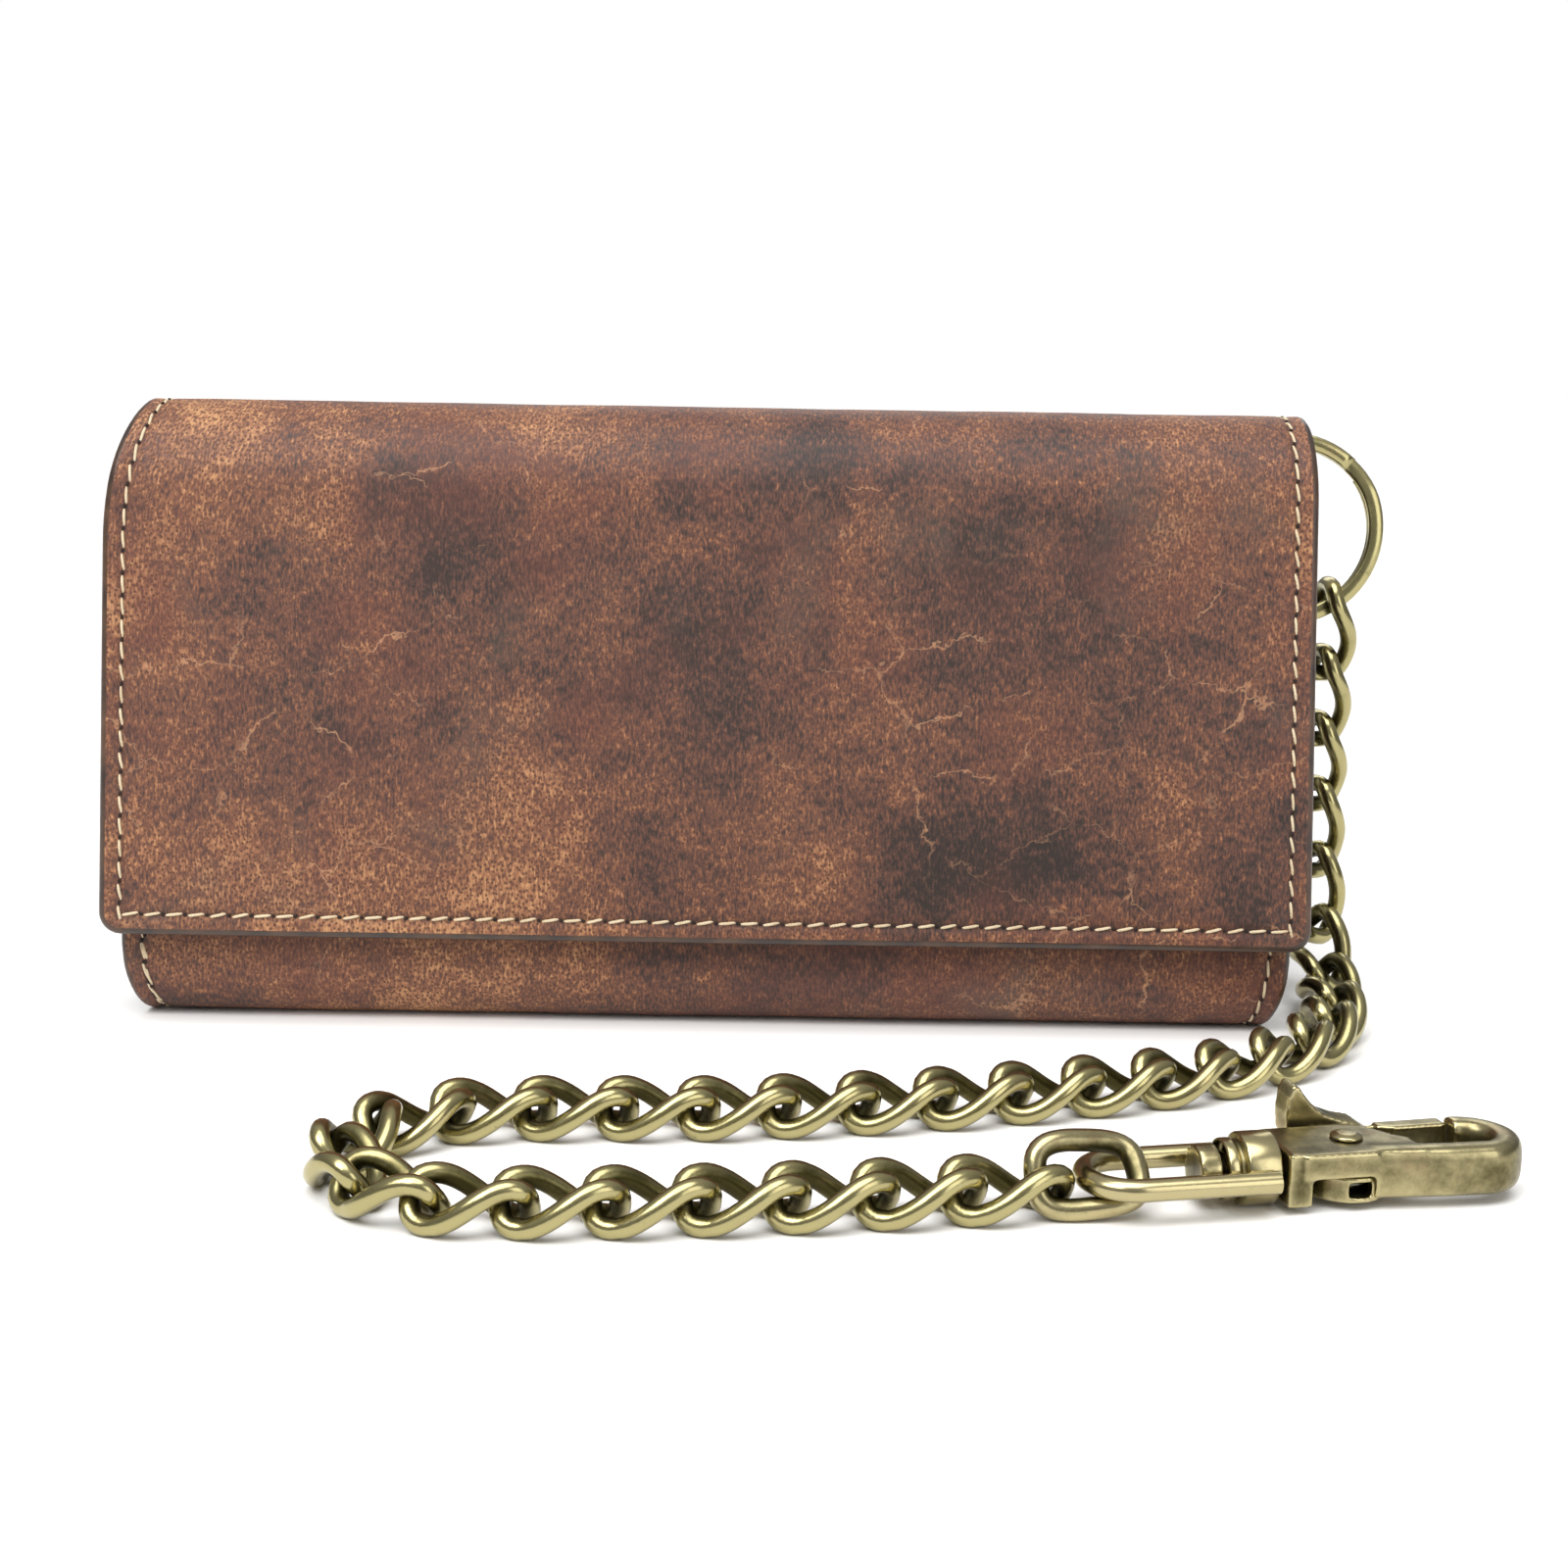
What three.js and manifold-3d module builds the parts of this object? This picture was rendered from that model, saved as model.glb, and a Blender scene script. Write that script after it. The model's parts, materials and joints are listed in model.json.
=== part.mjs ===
// Long leather chain wallet: a leaning, closed wallet with a cover flap, and the curb chain,
// split ring and swivel hook that hang from it. Millimetres, +X right, +Y back, +Z up.
// The origin is on the table, under the middle of the wallet.
import * as THREE from 'three';
import Module from 'manifold-3d';
import { mergeVertices } from 'three/addons/utils/BufferGeometryUtils.js';

const wasm = await Module();
wasm.setup();

// ---------- driving dimensions ----------
const LEAN = THREE.MathUtils.degToRad(6);   // the wallet leans back by this much
const HEIGHT = 97.5;                        // along the slope, from the table to the crown
const BODY_HALF_WIDTH = 92.7;               // front and back panels
const FLAP_HALF_WIDTH_BOTTOM = 95;
const FLAP_HALF_WIDTH_TOP = 93.3;
const BODY_HALF_THICKNESS = 11.9;           // half of front panel to back panel
const LEATHER = 1.7;                        // outer leather
const LINING = 1.0;                         // shell lining
const FLAP_LINING = 1.3;
const SKIN_GAP = 0.15;                      // between a leather and its lining
const LINING_INSET = 0.35;                  // a lining is this much narrower on each side
const SNAP_ROOM = 1.6;                      // between the flap's lining and the front panel
const FLAP_BOTTOM = 13.5;                   // height of the flap's lower edge
const FRONT_PANEL_TOP = 82;
const FRONT_CORNER_RADIUS = 9;              // bottom fold, front
const BACK_CORNER_RADIUS = 3.5;             // bottom fold, back
const FLAP_CORNER_RADIUS = 3.5;
const HINGE_GAP = 0.6;                      // slit along the crown between shell and flap

const LINK_PITCH = 11.3;
const LINK_WIRE = 2.8;
const LINK_WIDTH = 10.7;
const LINK_PLAY = 0.86;                     // slack between two hooked links
const LINK_TWIST = THREE.MathUtils.degToRad(-102);
const LINK_SQUARENESS = 3.4;                // exponent of the link's rounded oblong
const LINK_COUNT = 32;

const RING_RADIUS = 14.75;                  // to the middle of the ring's band
const RING_BAND = 2.4;
const RING_CENTRE = { x: 95.4, s: 80 };

const STRAP_WIDTH = 9;
const STRAP_LEATHER = 1.6;
const STRAP_LOOP = 2.6;                     // inner radius of the loop round the ring
const STRAP_GAP = 0.3;                      // between the back panel and the strap, and between its plies

// ---------- worked out from them ----------
const FLAP_THICKNESS = LEATHER + SKIN_GAP + FLAP_LINING;
const FLAP_FACE = -(BODY_HALF_THICKNESS + SNAP_ROOM + FLAP_THICKNESS);
const FOLD_RADIUS = (BODY_HALF_THICKNESS - FLAP_FACE) / 2;
const FOLD_CENTRE = { s: HEIGHT - FOLD_RADIUS, t: (BODY_HALF_THICKNESS + FLAP_FACE) / 2 };
const RING_DEPTH = BODY_HALF_THICKNESS + STRAP_GAP + STRAP_LEATHER + STRAP_LOOP;

// ---------- colours ----------
const finish = (color, roughness, metalness) =>
  new THREE.MeshStandardMaterial({ color, roughness, metalness });
const LEATHER_BROWN = finish('#6a4030', 0.55, 0);
const LINING_BROWN = finish('#3a2820', 0.8, 0);
const POCKET_CLOTH = finish('#2c2622', 0.9, 0);
const BRASS = finish('#8f8150', 0.4, 1);
const DARK_STEEL = finish('#5b5648', 0.4, 1);

// ---------- helpers ----------
const root = new THREE.Group();

function add(parent, name, geometry, material) {
  const mesh = new THREE.Mesh(geometry, material);
  mesh.name = name;
  parent.add(mesh);
  return mesh;
}

// s runs up the leaning wallet from the table, t runs from its front to its back.
const rest = new THREE.Group();             // the leaning frame: its Z is s, its Y is t
rest.rotation.x = -LEAN;
root.add(rest);

const onSlope = (s, t) => new THREE.Vector2(
  s * Math.sin(LEAN) + t * Math.cos(LEAN), s * Math.cos(LEAN) - t * Math.sin(LEAN));

function toSolid(geometry) {
  const bare = geometry.clone();
  bare.deleteAttribute('normal');
  bare.deleteAttribute('uv');
  const merged = mergeVertices(bare, 1e-4);
  return new wasm.Manifold(new wasm.Mesh({
    numProp: 3, vertProperties: merged.attributes.position.array, triVerts: merged.index.array }));
}

function toGeometry(solid) {
  const mesh = solid.getMesh();
  const geometry = new THREE.BufferGeometry();
  geometry.setAttribute('position', new THREE.BufferAttribute(mesh.vertProperties, 3));
  geometry.setIndex(new THREE.BufferAttribute(mesh.triVerts, 1));
  return geometry;
}

const join = (...parts) => toGeometry(parts.map(toSolid).reduce((a, b) => a.add(b)));
const cut = (body, ...tools) =>
  toGeometry(tools.map(toSolid).reduce((a, b) => a.subtract(b), toSolid(body)));

function box(x0, x1, y0, y1, z0, z1) {
  return new THREE.BoxGeometry(x1 - x0, y1 - y0, z1 - z0)
    .translate((x0 + x1) / 2, (y0 + y1) / 2, (z0 + z1) / 2);
}

// A prism of an outline given as [a, b] pairs, drawn along the third axis from c0 to c1.
function prism(points, c0, c1) {
  const shape = new THREE.Shape(points.map(([a, b]) => new THREE.Vector2(a, b)));
  return new THREE.ExtrudeGeometry(shape, { depth: c1 - c0, bevelEnabled: false }).translate(0, 0, c0);
}

// The same, standing with its outline in (y, z) and running along x.
const prismAlongX = (points, x0, x1) =>
  prism(points, x0, x1).applyMatrix4(new THREE.Matrix4().makeBasis(
    new THREE.Vector3(0, 1, 0), new THREE.Vector3(0, 0, 1), new THREE.Vector3(1, 0, 0)));

// ---------- leather sheets that follow a bent line ----------
// A line is a list of {p, n, v}: point and outward normal in (y, z), and length so far.
function bentLine(stretches) {
  const line = [];
  let length = 0;
  for (const { p, n } of stretches) {
    if (line.length) length += p.distanceTo(line.at(-1).p);
    line.push({ p, n, v: length });
  }
  return line;
}

function arc(centre, radius, from, to, steps) {
  return Array.from({ length: steps + 1 }, (_, i) => {
    const a = from + (to - from) * i / steps;
    const n = new THREE.Vector2(Math.cos(a), Math.sin(a));
    return { p: centre.clone().addScaledVector(n, radius), n };
  });
}

// A closed sheet between two depths under the line's outer face, half as wide as halfWidth says.
function sheet(line, outer, inner, halfWidth) {
  const position = [];
  for (const { p, n, v } of line) {
    const w = halfWidth(v, p);
    for (const [x, depth] of [[-w, outer], [w, outer], [w, inner], [-w, inner]]) {
      position.push(x, p.x - n.x * depth, p.y - n.y * depth);
    }
  }
  const index = [];
  for (let i = 0; i + 1 < line.length; i++) {
    for (let k = 0; k < 4; k++) {
      const [a, b] = [4 * i + k, 4 * i + (k + 1) % 4];
      index.push(a, b, b + 4, a, b + 4, a + 4);
    }
  }
  const last = 4 * (line.length - 1);
  index.push(0, 2, 1, 0, 3, 2, last, last + 1, last + 2, last, last + 2, last + 3);
  if (line[1].p.clone().sub(line[0].p).cross(line[0].n) < 0) index.reverse();
  const geometry = new THREE.BufferGeometry();
  geometry.setAttribute('position', new THREE.Float32BufferAttribute(position, 3));
  geometry.setIndex(index);
  return geometry;
}

const across = Math.PI / 2;
const foldCentre = onSlope(FOLD_CENTRE.s, FOLD_CENTRE.t);
const backNormal = -LEAN;                   // angles of the outward normals in (y, z)
const frontNormal = Math.PI - LEAN;
const crown = across - LEAN;
const slit = HINGE_GAP / 2 / FOLD_RADIUS;

// Outer shell: from the crown down the back, under the wallet and up the front.
function shellLine() {
  const edge = BODY_HALF_THICKNESS / Math.cos(LEAN);
  const centre = (y, radius, side) => new THREE.Vector2(
    y - side * radius / Math.tan((across + side * LEAN) / 2), radius);
  const back = centre(edge, BACK_CORNER_RADIUS, 1);
  const front = centre(-edge, FRONT_CORNER_RADIUS, -1);
  const fold = arc(foldCentre, FOLD_RADIUS, crown - slit, backNormal, 8);
  const heel = arc(back, BACK_CORNER_RADIUS, backNormal, -across, 5);
  const toe = arc(front, FRONT_CORNER_RADIUS, -across, frontNormal - 2 * Math.PI, 8);
  const lip = { p: onSlope(FRONT_PANEL_TOP, -BODY_HALF_THICKNESS), n: toe.at(-1).n };
  return bentLine([...fold, ...heel, ...toe, lip]);
}

// The panels' sides draw in by this much where they turn under.
const DRAW_IN = { depth: 2.4, height: 13, power: 1.6 };
const bodyHalfWidth = (inset) => (v, p) =>
  BODY_HALF_WIDTH - inset - DRAW_IN.depth * Math.max(0, 1 - p.y / DRAW_IN.height) ** DRAW_IN.power;

const shell = shellLine();
add(root, 'outer_shell', sheet(shell, 0, LEATHER, bodyHalfWidth(0)), LEATHER_BROWN);
add(root, 'shell_lining', sheet(shell.slice(1), LEATHER + SKIN_GAP, LEATHER + SKIN_GAP + LINING,
  bodyHalfWidth(LINING_INSET)), LINING_BROWN);

// Cover flap: the front half of the fold, then down the front.
function flapLine() {
  const fold = arc(foldCentre, FOLD_RADIUS, crown + slit, frontNormal, 8);
  const corner = Array.from({ length: 5 }, (_, i) => {
    const s = FLAP_BOTTOM + FLAP_CORNER_RADIUS * (1 - Math.sin(across * i / 4));
    return { p: onSlope(s, FLAP_FACE), n: fold.at(-1).n };
  });
  return bentLine([...fold, ...corner]);
}

function flapHalfWidth(line, inset) {
  const total = line.at(-1).v;
  return (v) => {
    const slope = FLAP_HALF_WIDTH_TOP + (FLAP_HALF_WIDTH_BOTTOM - FLAP_HALF_WIDTH_TOP) * v / total;
    const into = Math.max(0, v - (total - FLAP_CORNER_RADIUS));
    return slope - inset - FLAP_CORNER_RADIUS + Math.sqrt(FLAP_CORNER_RADIUS ** 2 - into ** 2);
  };
}

const flap = flapLine();
add(root, 'flap', sheet(flap, 0, LEATHER, flapHalfWidth(flap, 0)), LEATHER_BROWN);
add(root, 'flap_lining', sheet(flap, LEATHER + SKIN_GAP, FLAP_THICKNESS, flapHalfWidth(flap, LINING_INSET)),
  LINING_BROWN);

// ---------- inside the wallet, in the leaning frame (x, t, s) ----------
const PAGE_HALF_WIDTH = 80;
const PAGE_BOTTOM = 7.5;
const CARD_PAGE_TOP = 79;
const CARD_PAGE = { near: 4.2, far: 5.1 };  // its two faces, from the middle of the wallet
const POCKET_HALF_WIDTH = 78;
const POCKET_TOP = 66;
const POCKET_HALF_DEPTH = 3.8;
const CLOTH = 0.8;

// Card pages: one in front of the coin pocket and one behind it.
const cardPage = (t0, t1) => box(-PAGE_HALF_WIDTH, PAGE_HALF_WIDTH, t0, t1, PAGE_BOTTOM, CARD_PAGE_TOP);
add(rest, 'card_page_front', cardPage(-CARD_PAGE.far, -CARD_PAGE.near), LINING_BROWN);
add(rest, 'card_page_back', cardPage(CARD_PAGE.near, CARD_PAGE.far), LINING_BROWN);

// Three rows of card slots on the front page, each a step in front of the row above.
const SLOTS = { back: -5.2, step: 0.5, tops: [72, 62, 52], inset: 1 };
const slotSteps = SLOTS.tops.flatMap((top, i) => [
  [SLOTS.back - SLOTS.step * i, top], [SLOTS.back - SLOTS.step * (i + 1), top]]);
slotSteps.push([slotSteps.at(-1)[0], PAGE_BOTTOM + SLOTS.inset], [SLOTS.back, PAGE_BOTTOM + SLOTS.inset]);
add(rest, 'card_slots',
  prismAlongX(slotSteps, -PAGE_HALF_WIDTH + SLOTS.inset, PAGE_HALF_WIDTH - SLOTS.inset), LINING_BROWN);

// Coin pocket: a cloth pouch, open along its top.
const pouch = (inset, top) => box(-POCKET_HALF_WIDTH + inset, POCKET_HALF_WIDTH - inset,
  -POCKET_HALF_DEPTH + inset, POCKET_HALF_DEPTH - inset, PAGE_BOTTOM + inset, top);
add(rest, 'coin_pocket', cut(pouch(0, POCKET_TOP), pouch(CLOTH, POCKET_TOP + 1)), POCKET_CLOTH);

// Zip: each half is a tape that lies on the pocket's lip with a rail of teeth along its edge.
const ZIP_HALF_LENGTH = 76;
const ZIP_LEVEL = POCKET_TOP + 0.3;
const TAPE = 0.6;
const TEETH = { near: 0.45, far: 1.65, height: 1.9, below: 0.6 };
function zipHalf(side) {
  const outline = [[POCKET_HALF_DEPTH, 0], [POCKET_HALF_DEPTH, TAPE], [TEETH.far, TAPE],
    [TEETH.far, TEETH.height], [TEETH.near, TEETH.height], [TEETH.near, -TEETH.below],
    [TEETH.far, -TEETH.below], [TEETH.far, 0]].map(([t, s]) => [side * t, ZIP_LEVEL + s]);
  return prismAlongX(side > 0 ? outline : outline.reverse(), -ZIP_HALF_LENGTH, ZIP_HALF_LENGTH);
}
add(rest, 'zip_half_front', zipHalf(-1), DARK_STEEL);
add(rest, 'zip_half_back', zipHalf(1), DARK_STEEL);

// Slider: two plates joined by a web that runs between the rows of teeth.
const SLIDER_X = -66;
const SLIDER_LENGTH = 8;
const slider = new THREE.Group();
slider.position.set(SLIDER_X, 0, ZIP_LEVEL + TEETH.height);
rest.add(slider);
const SLIDER_PLATE = { half: 2.3, bottom: 0.25, top: 1.15 };
const SLIDER_WEB = { half: 0.2, bottom: -3.1 };
const SLIDER_FOOT = { half: 1.6, bottom: -3.6, top: -2.8 };
const LUG = { half: 1.2, side: 1.0, hole: 0.65, rise: 0.8, cap: 1.1, root: 0.2 };
const PULL_AXIS = SLIDER_PLATE.top + LUG.rise;
const sliderBar = (half, s0, s1) => box(-SLIDER_LENGTH / 2, SLIDER_LENGTH / 2, -half, half, s0, s1);
const sliderLug = cut(
  box(-LUG.half, LUG.half, -LUG.side, LUG.side, SLIDER_PLATE.top - LUG.root, PULL_AXIS + LUG.cap),
  new THREE.CylinderGeometry(LUG.hole, LUG.hole, 4 * LUG.side, 12).translate(0, 0, PULL_AXIS));
add(slider, 'zip_slider', join(
  sliderBar(SLIDER_PLATE.half, SLIDER_PLATE.bottom, SLIDER_PLATE.top),
  sliderBar(SLIDER_WEB.half, SLIDER_WEB.bottom, SLIDER_PLATE.bottom + SLIDER_WEB.half),
  sliderBar(SLIDER_FOOT.half, SLIDER_FOOT.bottom, SLIDER_FOOT.top),
  sliderLug), BRASS);

// Pull: a plate on two arms, whose cross bar runs through the slider's lug.
const PULL = { length: 15, half: 2.4, slot: 1.3, thick: 0.35, plateFrom: 3, armTo: 4 };
const pull = new THREE.Group();
pull.position.z = PULL_AXIS;
slider.add(pull);
const pullBar = (x0, x1, t0, t1) => box(x0, x1, t0, t1, -PULL.thick, PULL.thick);
add(pull, 'zip_pull', join(
  pullBar(-PULL.thick, PULL.thick, -PULL.half, PULL.half),
  pullBar(-PULL.thick, PULL.armTo, PULL.slot, PULL.half),
  pullBar(-PULL.thick, PULL.armTo, -PULL.half, -PULL.slot),
  pullBar(PULL.plateFrom, PULL.length, -PULL.half, PULL.half)), BRASS);

// Bellows gussets: pleated leather that closes each end of the body.
const GUSSET = { out: 90.2, fold: 84, sheet: 0.5, bottom: 9.5, top: 78 };
const PLEATS = [-8.5, -5.6, -2.8, 0, 2.8, 5.6, 8.5];
function gusset(side) {
  const edge = (shift) => PLEATS.map((t, i) => [side * ((i % 2 ? GUSSET.fold : GUSSET.out) + shift), t]);
  const outline = [...edge(-GUSSET.sheet), ...edge(GUSSET.sheet).reverse()];
  return prism(side > 0 ? outline.reverse() : outline, GUSSET.bottom, GUSSET.top);
}
add(rest, 'gusset_left', gusset(-1), LEATHER_BROWN);
add(rest, 'gusset_right', gusset(1), LEATHER_BROWN);

// Snap fasteners: a socket under the flap and a stud on the front panel, on each side.
const SNAP = { x: 58, s: 30, socket: 6, stud: 5, thickness: 0.55, clear: 0.1 };
const disc = (x, radius, t) => new THREE.CylinderGeometry(radius, radius, SNAP.thickness, 20)
  .translate(x, t, SNAP.s);
for (const [side, name] of [[-1, 'left'], [1, 'right']]) {
  add(rest, `snap_socket_${name}`,
    disc(side * SNAP.x, SNAP.socket, -BODY_HALF_THICKNESS - SNAP_ROOM + SNAP.clear + SNAP.thickness / 2),
    BRASS);
  add(rest, `snap_stud_${name}`,
    disc(side * SNAP.x, SNAP.stud, -BODY_HALF_THICKNESS - SNAP.clear - SNAP.thickness / 2), BRASS);
}

// ---------- strap, rivet and split ring ----------
// The strap is doubled round the ring's left side; both its ends are riveted to the back panel.
const LOOP_X = RING_CENTRE.x - RING_RADIUS;
const STRAP = { end: LOOP_X - 21, pinch: LOOP_X - 8, steps: 10 };
function strapOutline() {
  const turn = (radius, from, to) => Array.from({ length: STRAP.steps + 1 }, (_, i) => {
    const a = from + (to - from) * i / STRAP.steps;
    return [LOOP_X + radius * Math.cos(a), RING_DEPTH + radius * Math.sin(a)];
  });
  const near = BODY_HALF_THICKNESS + STRAP_GAP;
  const far = near + STRAP_LEATHER + STRAP_GAP;
  return [[STRAP.end, near], ...turn(STRAP_LOOP + STRAP_LEATHER, -across, across),
    [STRAP.pinch, far + STRAP_LEATHER], [STRAP.end, far + STRAP_LEATHER], [STRAP.end, far],
    [STRAP.pinch, far], ...turn(STRAP_LOOP, across, -across), [STRAP.pinch, near + STRAP_LEATHER],
    [STRAP.end, near + STRAP_LEATHER]];
}
add(rest, 'ring_strap', prism(strapOutline(), -STRAP_WIDTH / 2, STRAP_WIDTH / 2)
  .translate(0, 0, RING_CENTRE.s), LEATHER_BROWN);
const STRAP_FACE = BODY_HALF_THICKNESS + 2 * (STRAP_GAP + STRAP_LEATHER);
const RIVET = { inset: 6, clear: 0.05, profile: [[0, 0], [3.4, 0], [2.9, 0.75], [1.6, 1.2], [0, 1.35]] };
add(rest, 'strap_rivet', new THREE.LatheGeometry(RIVET.profile.map(([r, h]) => new THREE.Vector2(r, h)), 18)
  .translate(STRAP.end + RIVET.inset, STRAP_FACE + RIVET.clear, RING_CENTRE.s), BRASS);

// Split ring: a flat band turned twice, here as one closed ring.
const half = RING_BAND / 2;
const ringProfile = [[-half, -half], [half, -half], [half, half], [-half, half], [-half, -half]]
  .map(([r, h]) => new THREE.Vector2(RING_RADIUS + r, h));
add(rest, 'split_ring', new THREE.LatheGeometry(ringProfile, 36)
  .translate(RING_CENTRE.x, RING_DEPTH, RING_CENTRE.s), BRASS);

// ---------- chain ----------
// One curb link: a rounded oblong of wire, its two ends turned against each other.
class LinkCurve extends THREE.Curve {
  constructor(halfLength, halfWidth, twist) {
    super();
    Object.assign(this, { halfLength, halfWidth, twist });
  }
  getPoint(t) {
    const a = 2 * Math.PI * t;
    const power = 2 / LINK_SQUARENESS;
    const x = this.halfLength * Math.sign(Math.cos(a)) * Math.abs(Math.cos(a)) ** power;
    const q = this.halfWidth * Math.sign(Math.sin(a)) * Math.abs(Math.sin(a)) ** power;
    const turn = this.twist / 2 * Math.sin(across * x / this.halfLength);
    return new THREE.Vector3(x, q * Math.cos(turn), q * Math.sin(turn));
  }
}
const linkCurve = new LinkCurve(
  (LINK_PITCH + LINK_WIRE + LINK_PLAY) / 2, (LINK_WIDTH - LINK_WIRE) / 2, LINK_TWIST);
const linkGeometry = new THREE.TubeGeometry(linkCurve, 16, LINK_WIRE / 2, 7, true);
linkGeometry.computeBoundingBox();
const TABLE_GAP = 0.05;
const LIE = linkGeometry.boundingBox.max.z + TABLE_GAP;   // height of a lying link's middle

// The chain's lay: down from the ring, forward past the wallet's side, left along its front,
// round and back to the right.
const RING_EXIT = Math.PI / 3;                       // below level, where the chain leaves the ring
const hangFrom = onSlope(RING_CENTRE.s - RING_RADIUS * Math.sin(RING_EXIT), RING_DEPTH);
const HANG_RISE = 1.8;                               // first joint above the middle of the ring's band
const RING_EXIT_X = RING_CENTRE.x + RING_RADIUS * Math.cos(RING_EXIT);
const lay = new THREE.CatmullRomCurve3([
  [RING_EXIT_X, hangFrom.x, hangFrom.y + HANG_RISE], [RING_EXIT_X - 0.5, 23.4, 46], [102.4, 22.6, 26],
  [102.2, 16, 10.8], [102, 4, LIE + 0.9], [100.5, -10, LIE + 0.3], [92, -27, LIE + 0.1], [76, -40, LIE],
  [56, -48.5, LIE], [28, -56.5, LIE], [0, -61, LIE], [-22, -62, LIE], [-37, -65.5, LIE],
  [-45.5, -76, LIE], [-43.5, -89, LIE], [-32, -97, LIE], [-14, -97.5, LIE], [18, -94, LIE],
  [40, -90.5, LIE], [70, -86, LIE]].map((p) => new THREE.Vector3(...p)), false, 'centripetal');

function jointsAlong(curve, pitch, count) {
  const joints = [curve.getPoint(0)];
  let t = 0;
  while (joints.length <= count) {
    let [low, high] = [t, Math.min(1, t + 0.12)];
    for (let i = 0; i < 40; i++) {
      const middle = (low + high) / 2;
      if (curve.getPoint(middle).distanceTo(joints.at(-1)) < pitch) low = middle;
      else high = middle;
    }
    t = high;
    joints.push(curve.getPoint(t));
  }
  return joints;
}

// A frame at `from`, its X towards `to`, its Z the upper side of the lay, rolled about X.
function layFrame(from, to, roll) {
  const x = to.clone().sub(from).normalize();
  const level = Math.hypot(x.x, x.y);
  const ahead = level > 0.5 ? new THREE.Vector3(x.x / level, x.y / level, 0) : new THREE.Vector3(0, -1, 0);
  const up = ahead.multiplyScalar(-x.z).add(new THREE.Vector3(0, 0, level));
  const y = up.clone().cross(x).normalize();
  const z = x.clone().cross(y);
  return new THREE.Matrix4().makeBasis(x, y, z).setPosition(from)
    .multiply(new THREE.Matrix4().makeRotationX(roll));
}

const RING_ROLL = THREE.MathUtils.degToRad(36);      // the hanging links turn to face the ring
const ROLL_LINKS = 6;
const joints = jointsAlong(lay, LINK_PITCH, LINK_COUNT);
for (let i = 0; i < LINK_COUNT; i++) {
  const roll = RING_ROLL * Math.max(0, 1 - i / ROLL_LINKS);
  const link = add(root, `chain_link_${String(i + 1).padStart(2, '0')}`, linkGeometry, BRASS);
  layFrame(joints[i], joints[i + 1], roll)
    .multiply(new THREE.Matrix4().makeTranslation(LINK_PITCH / 2, 0, 0))
    .decompose(link.position, link.quaternion, link.scale);
}

// ---------- end link and swivel hook ----------
const END_WIRE = 3;
const END_LENGTH = 16.6;
const END_WIDTH = 12;
const END_TWIST = THREE.MathUtils.degToRad(-24);
const END_ROLL = THREE.MathUtils.degToRad(54);       // turned up on edge
const HOOK_HEADING = THREE.MathUtils.degToRad(12);   // the hook points right and a little back
const AXIS_HEIGHT = 4.9;                             // the swivel's axis above the table

const chainEnd = joints[LINK_COUNT];
const tail = new THREE.Group();                      // X along the hook, at the chain's last joint
tail.position.set(chainEnd.x, chainEnd.y, 0);
tail.rotation.z = HOOK_HEADING;
root.add(tail);

// End link: larger than the rest and turned up on edge.
const endHalf = (END_LENGTH - END_WIRE) / 2;
const endLink = new THREE.TubeGeometry(
  new LinkCurve(endHalf, (END_WIDTH - END_WIRE) / 2, END_TWIST), 20, END_WIRE / 2, 8, true);
endLink.rotateX(END_ROLL);
endLink.computeBoundingBox();
endLink.translate(endHalf - (LINK_WIRE + END_WIRE) / 4 - LINK_PLAY / 2, 0,
  TABLE_GAP - endLink.boundingBox.min.z);
add(tail, 'end_link', endLink, BRASS);

// Swivel eye: a U of wire whose legs clasp a collar.
const EYE_WIRE = 3;
const EYE_HALF = 5.8;
const EYE_REACH = 25.5;                              // from the hook's base to the U's bend
const EYE_START = 4.9;                               // from the chain's last joint to the U's bend
const COLLAR = { radius: 4.8, bore: 2.3, from: -7.4, to: -0.5 };
const EYE_INSET = 1;                                 // the wire's ends, short of the collar's end
const hook = new THREE.Group();                      // X along the swivel, at the hook's base
hook.position.set(EYE_REACH + EYE_START, 0, AXIS_HEIGHT);
tail.add(hook);

function rodX(radius, from, to, sides = 20) {
  return new THREE.CylinderGeometry(radius, radius, to - from, sides)
    .rotateZ(across).translate((from + to) / 2, 0, 0);
}
function rodZ(radius, x, y, from, to, sides = 20) {
  return new THREE.CylinderGeometry(radius, radius, to - from, sides)
    .rotateX(across).translate(x, y, (from + to) / 2);
}

class EyeCurve extends THREE.Curve {
  getPoint(t) {
    const x0 = COLLAR.to - EYE_INSET;
    const straightLength = EYE_REACH - EYE_HALF + x0;
    const bend = Math.PI * EYE_HALF;
    const at = t * (2 * straightLength + bend);
    if (at < straightLength) return new THREE.Vector3(x0 - at, -EYE_HALF, 0);
    if (at > straightLength + bend) {
      return new THREE.Vector3(x0 - (2 * straightLength + bend - at), EYE_HALF, 0);
    }
    const a = (at - straightLength) / EYE_HALF;
    return new THREE.Vector3(x0 - straightLength - EYE_HALF * Math.sin(a), -EYE_HALF * Math.cos(a), 0);
  }
}
const wireSection = (radius, sides) => new THREE.Shape(Array.from({ length: sides }, (_, i) => {
  const a = 2 * Math.PI * i / sides;
  return new THREE.Vector2(radius * Math.cos(a), radius * Math.sin(a));
}));
const eyeWire = new THREE.ExtrudeGeometry(wireSection(EYE_WIRE / 2, 8),
  { steps: 26, extrudePath: new EyeCurve(), bevelEnabled: false });
add(hook, 'swivel_eye', cut(join(eyeWire, rodX(COLLAR.radius, COLLAR.from, COLLAR.to)),
  rodX(COLLAR.bore, COLLAR.from - 1, COLLAR.to + 1)), BRASS);

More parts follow.
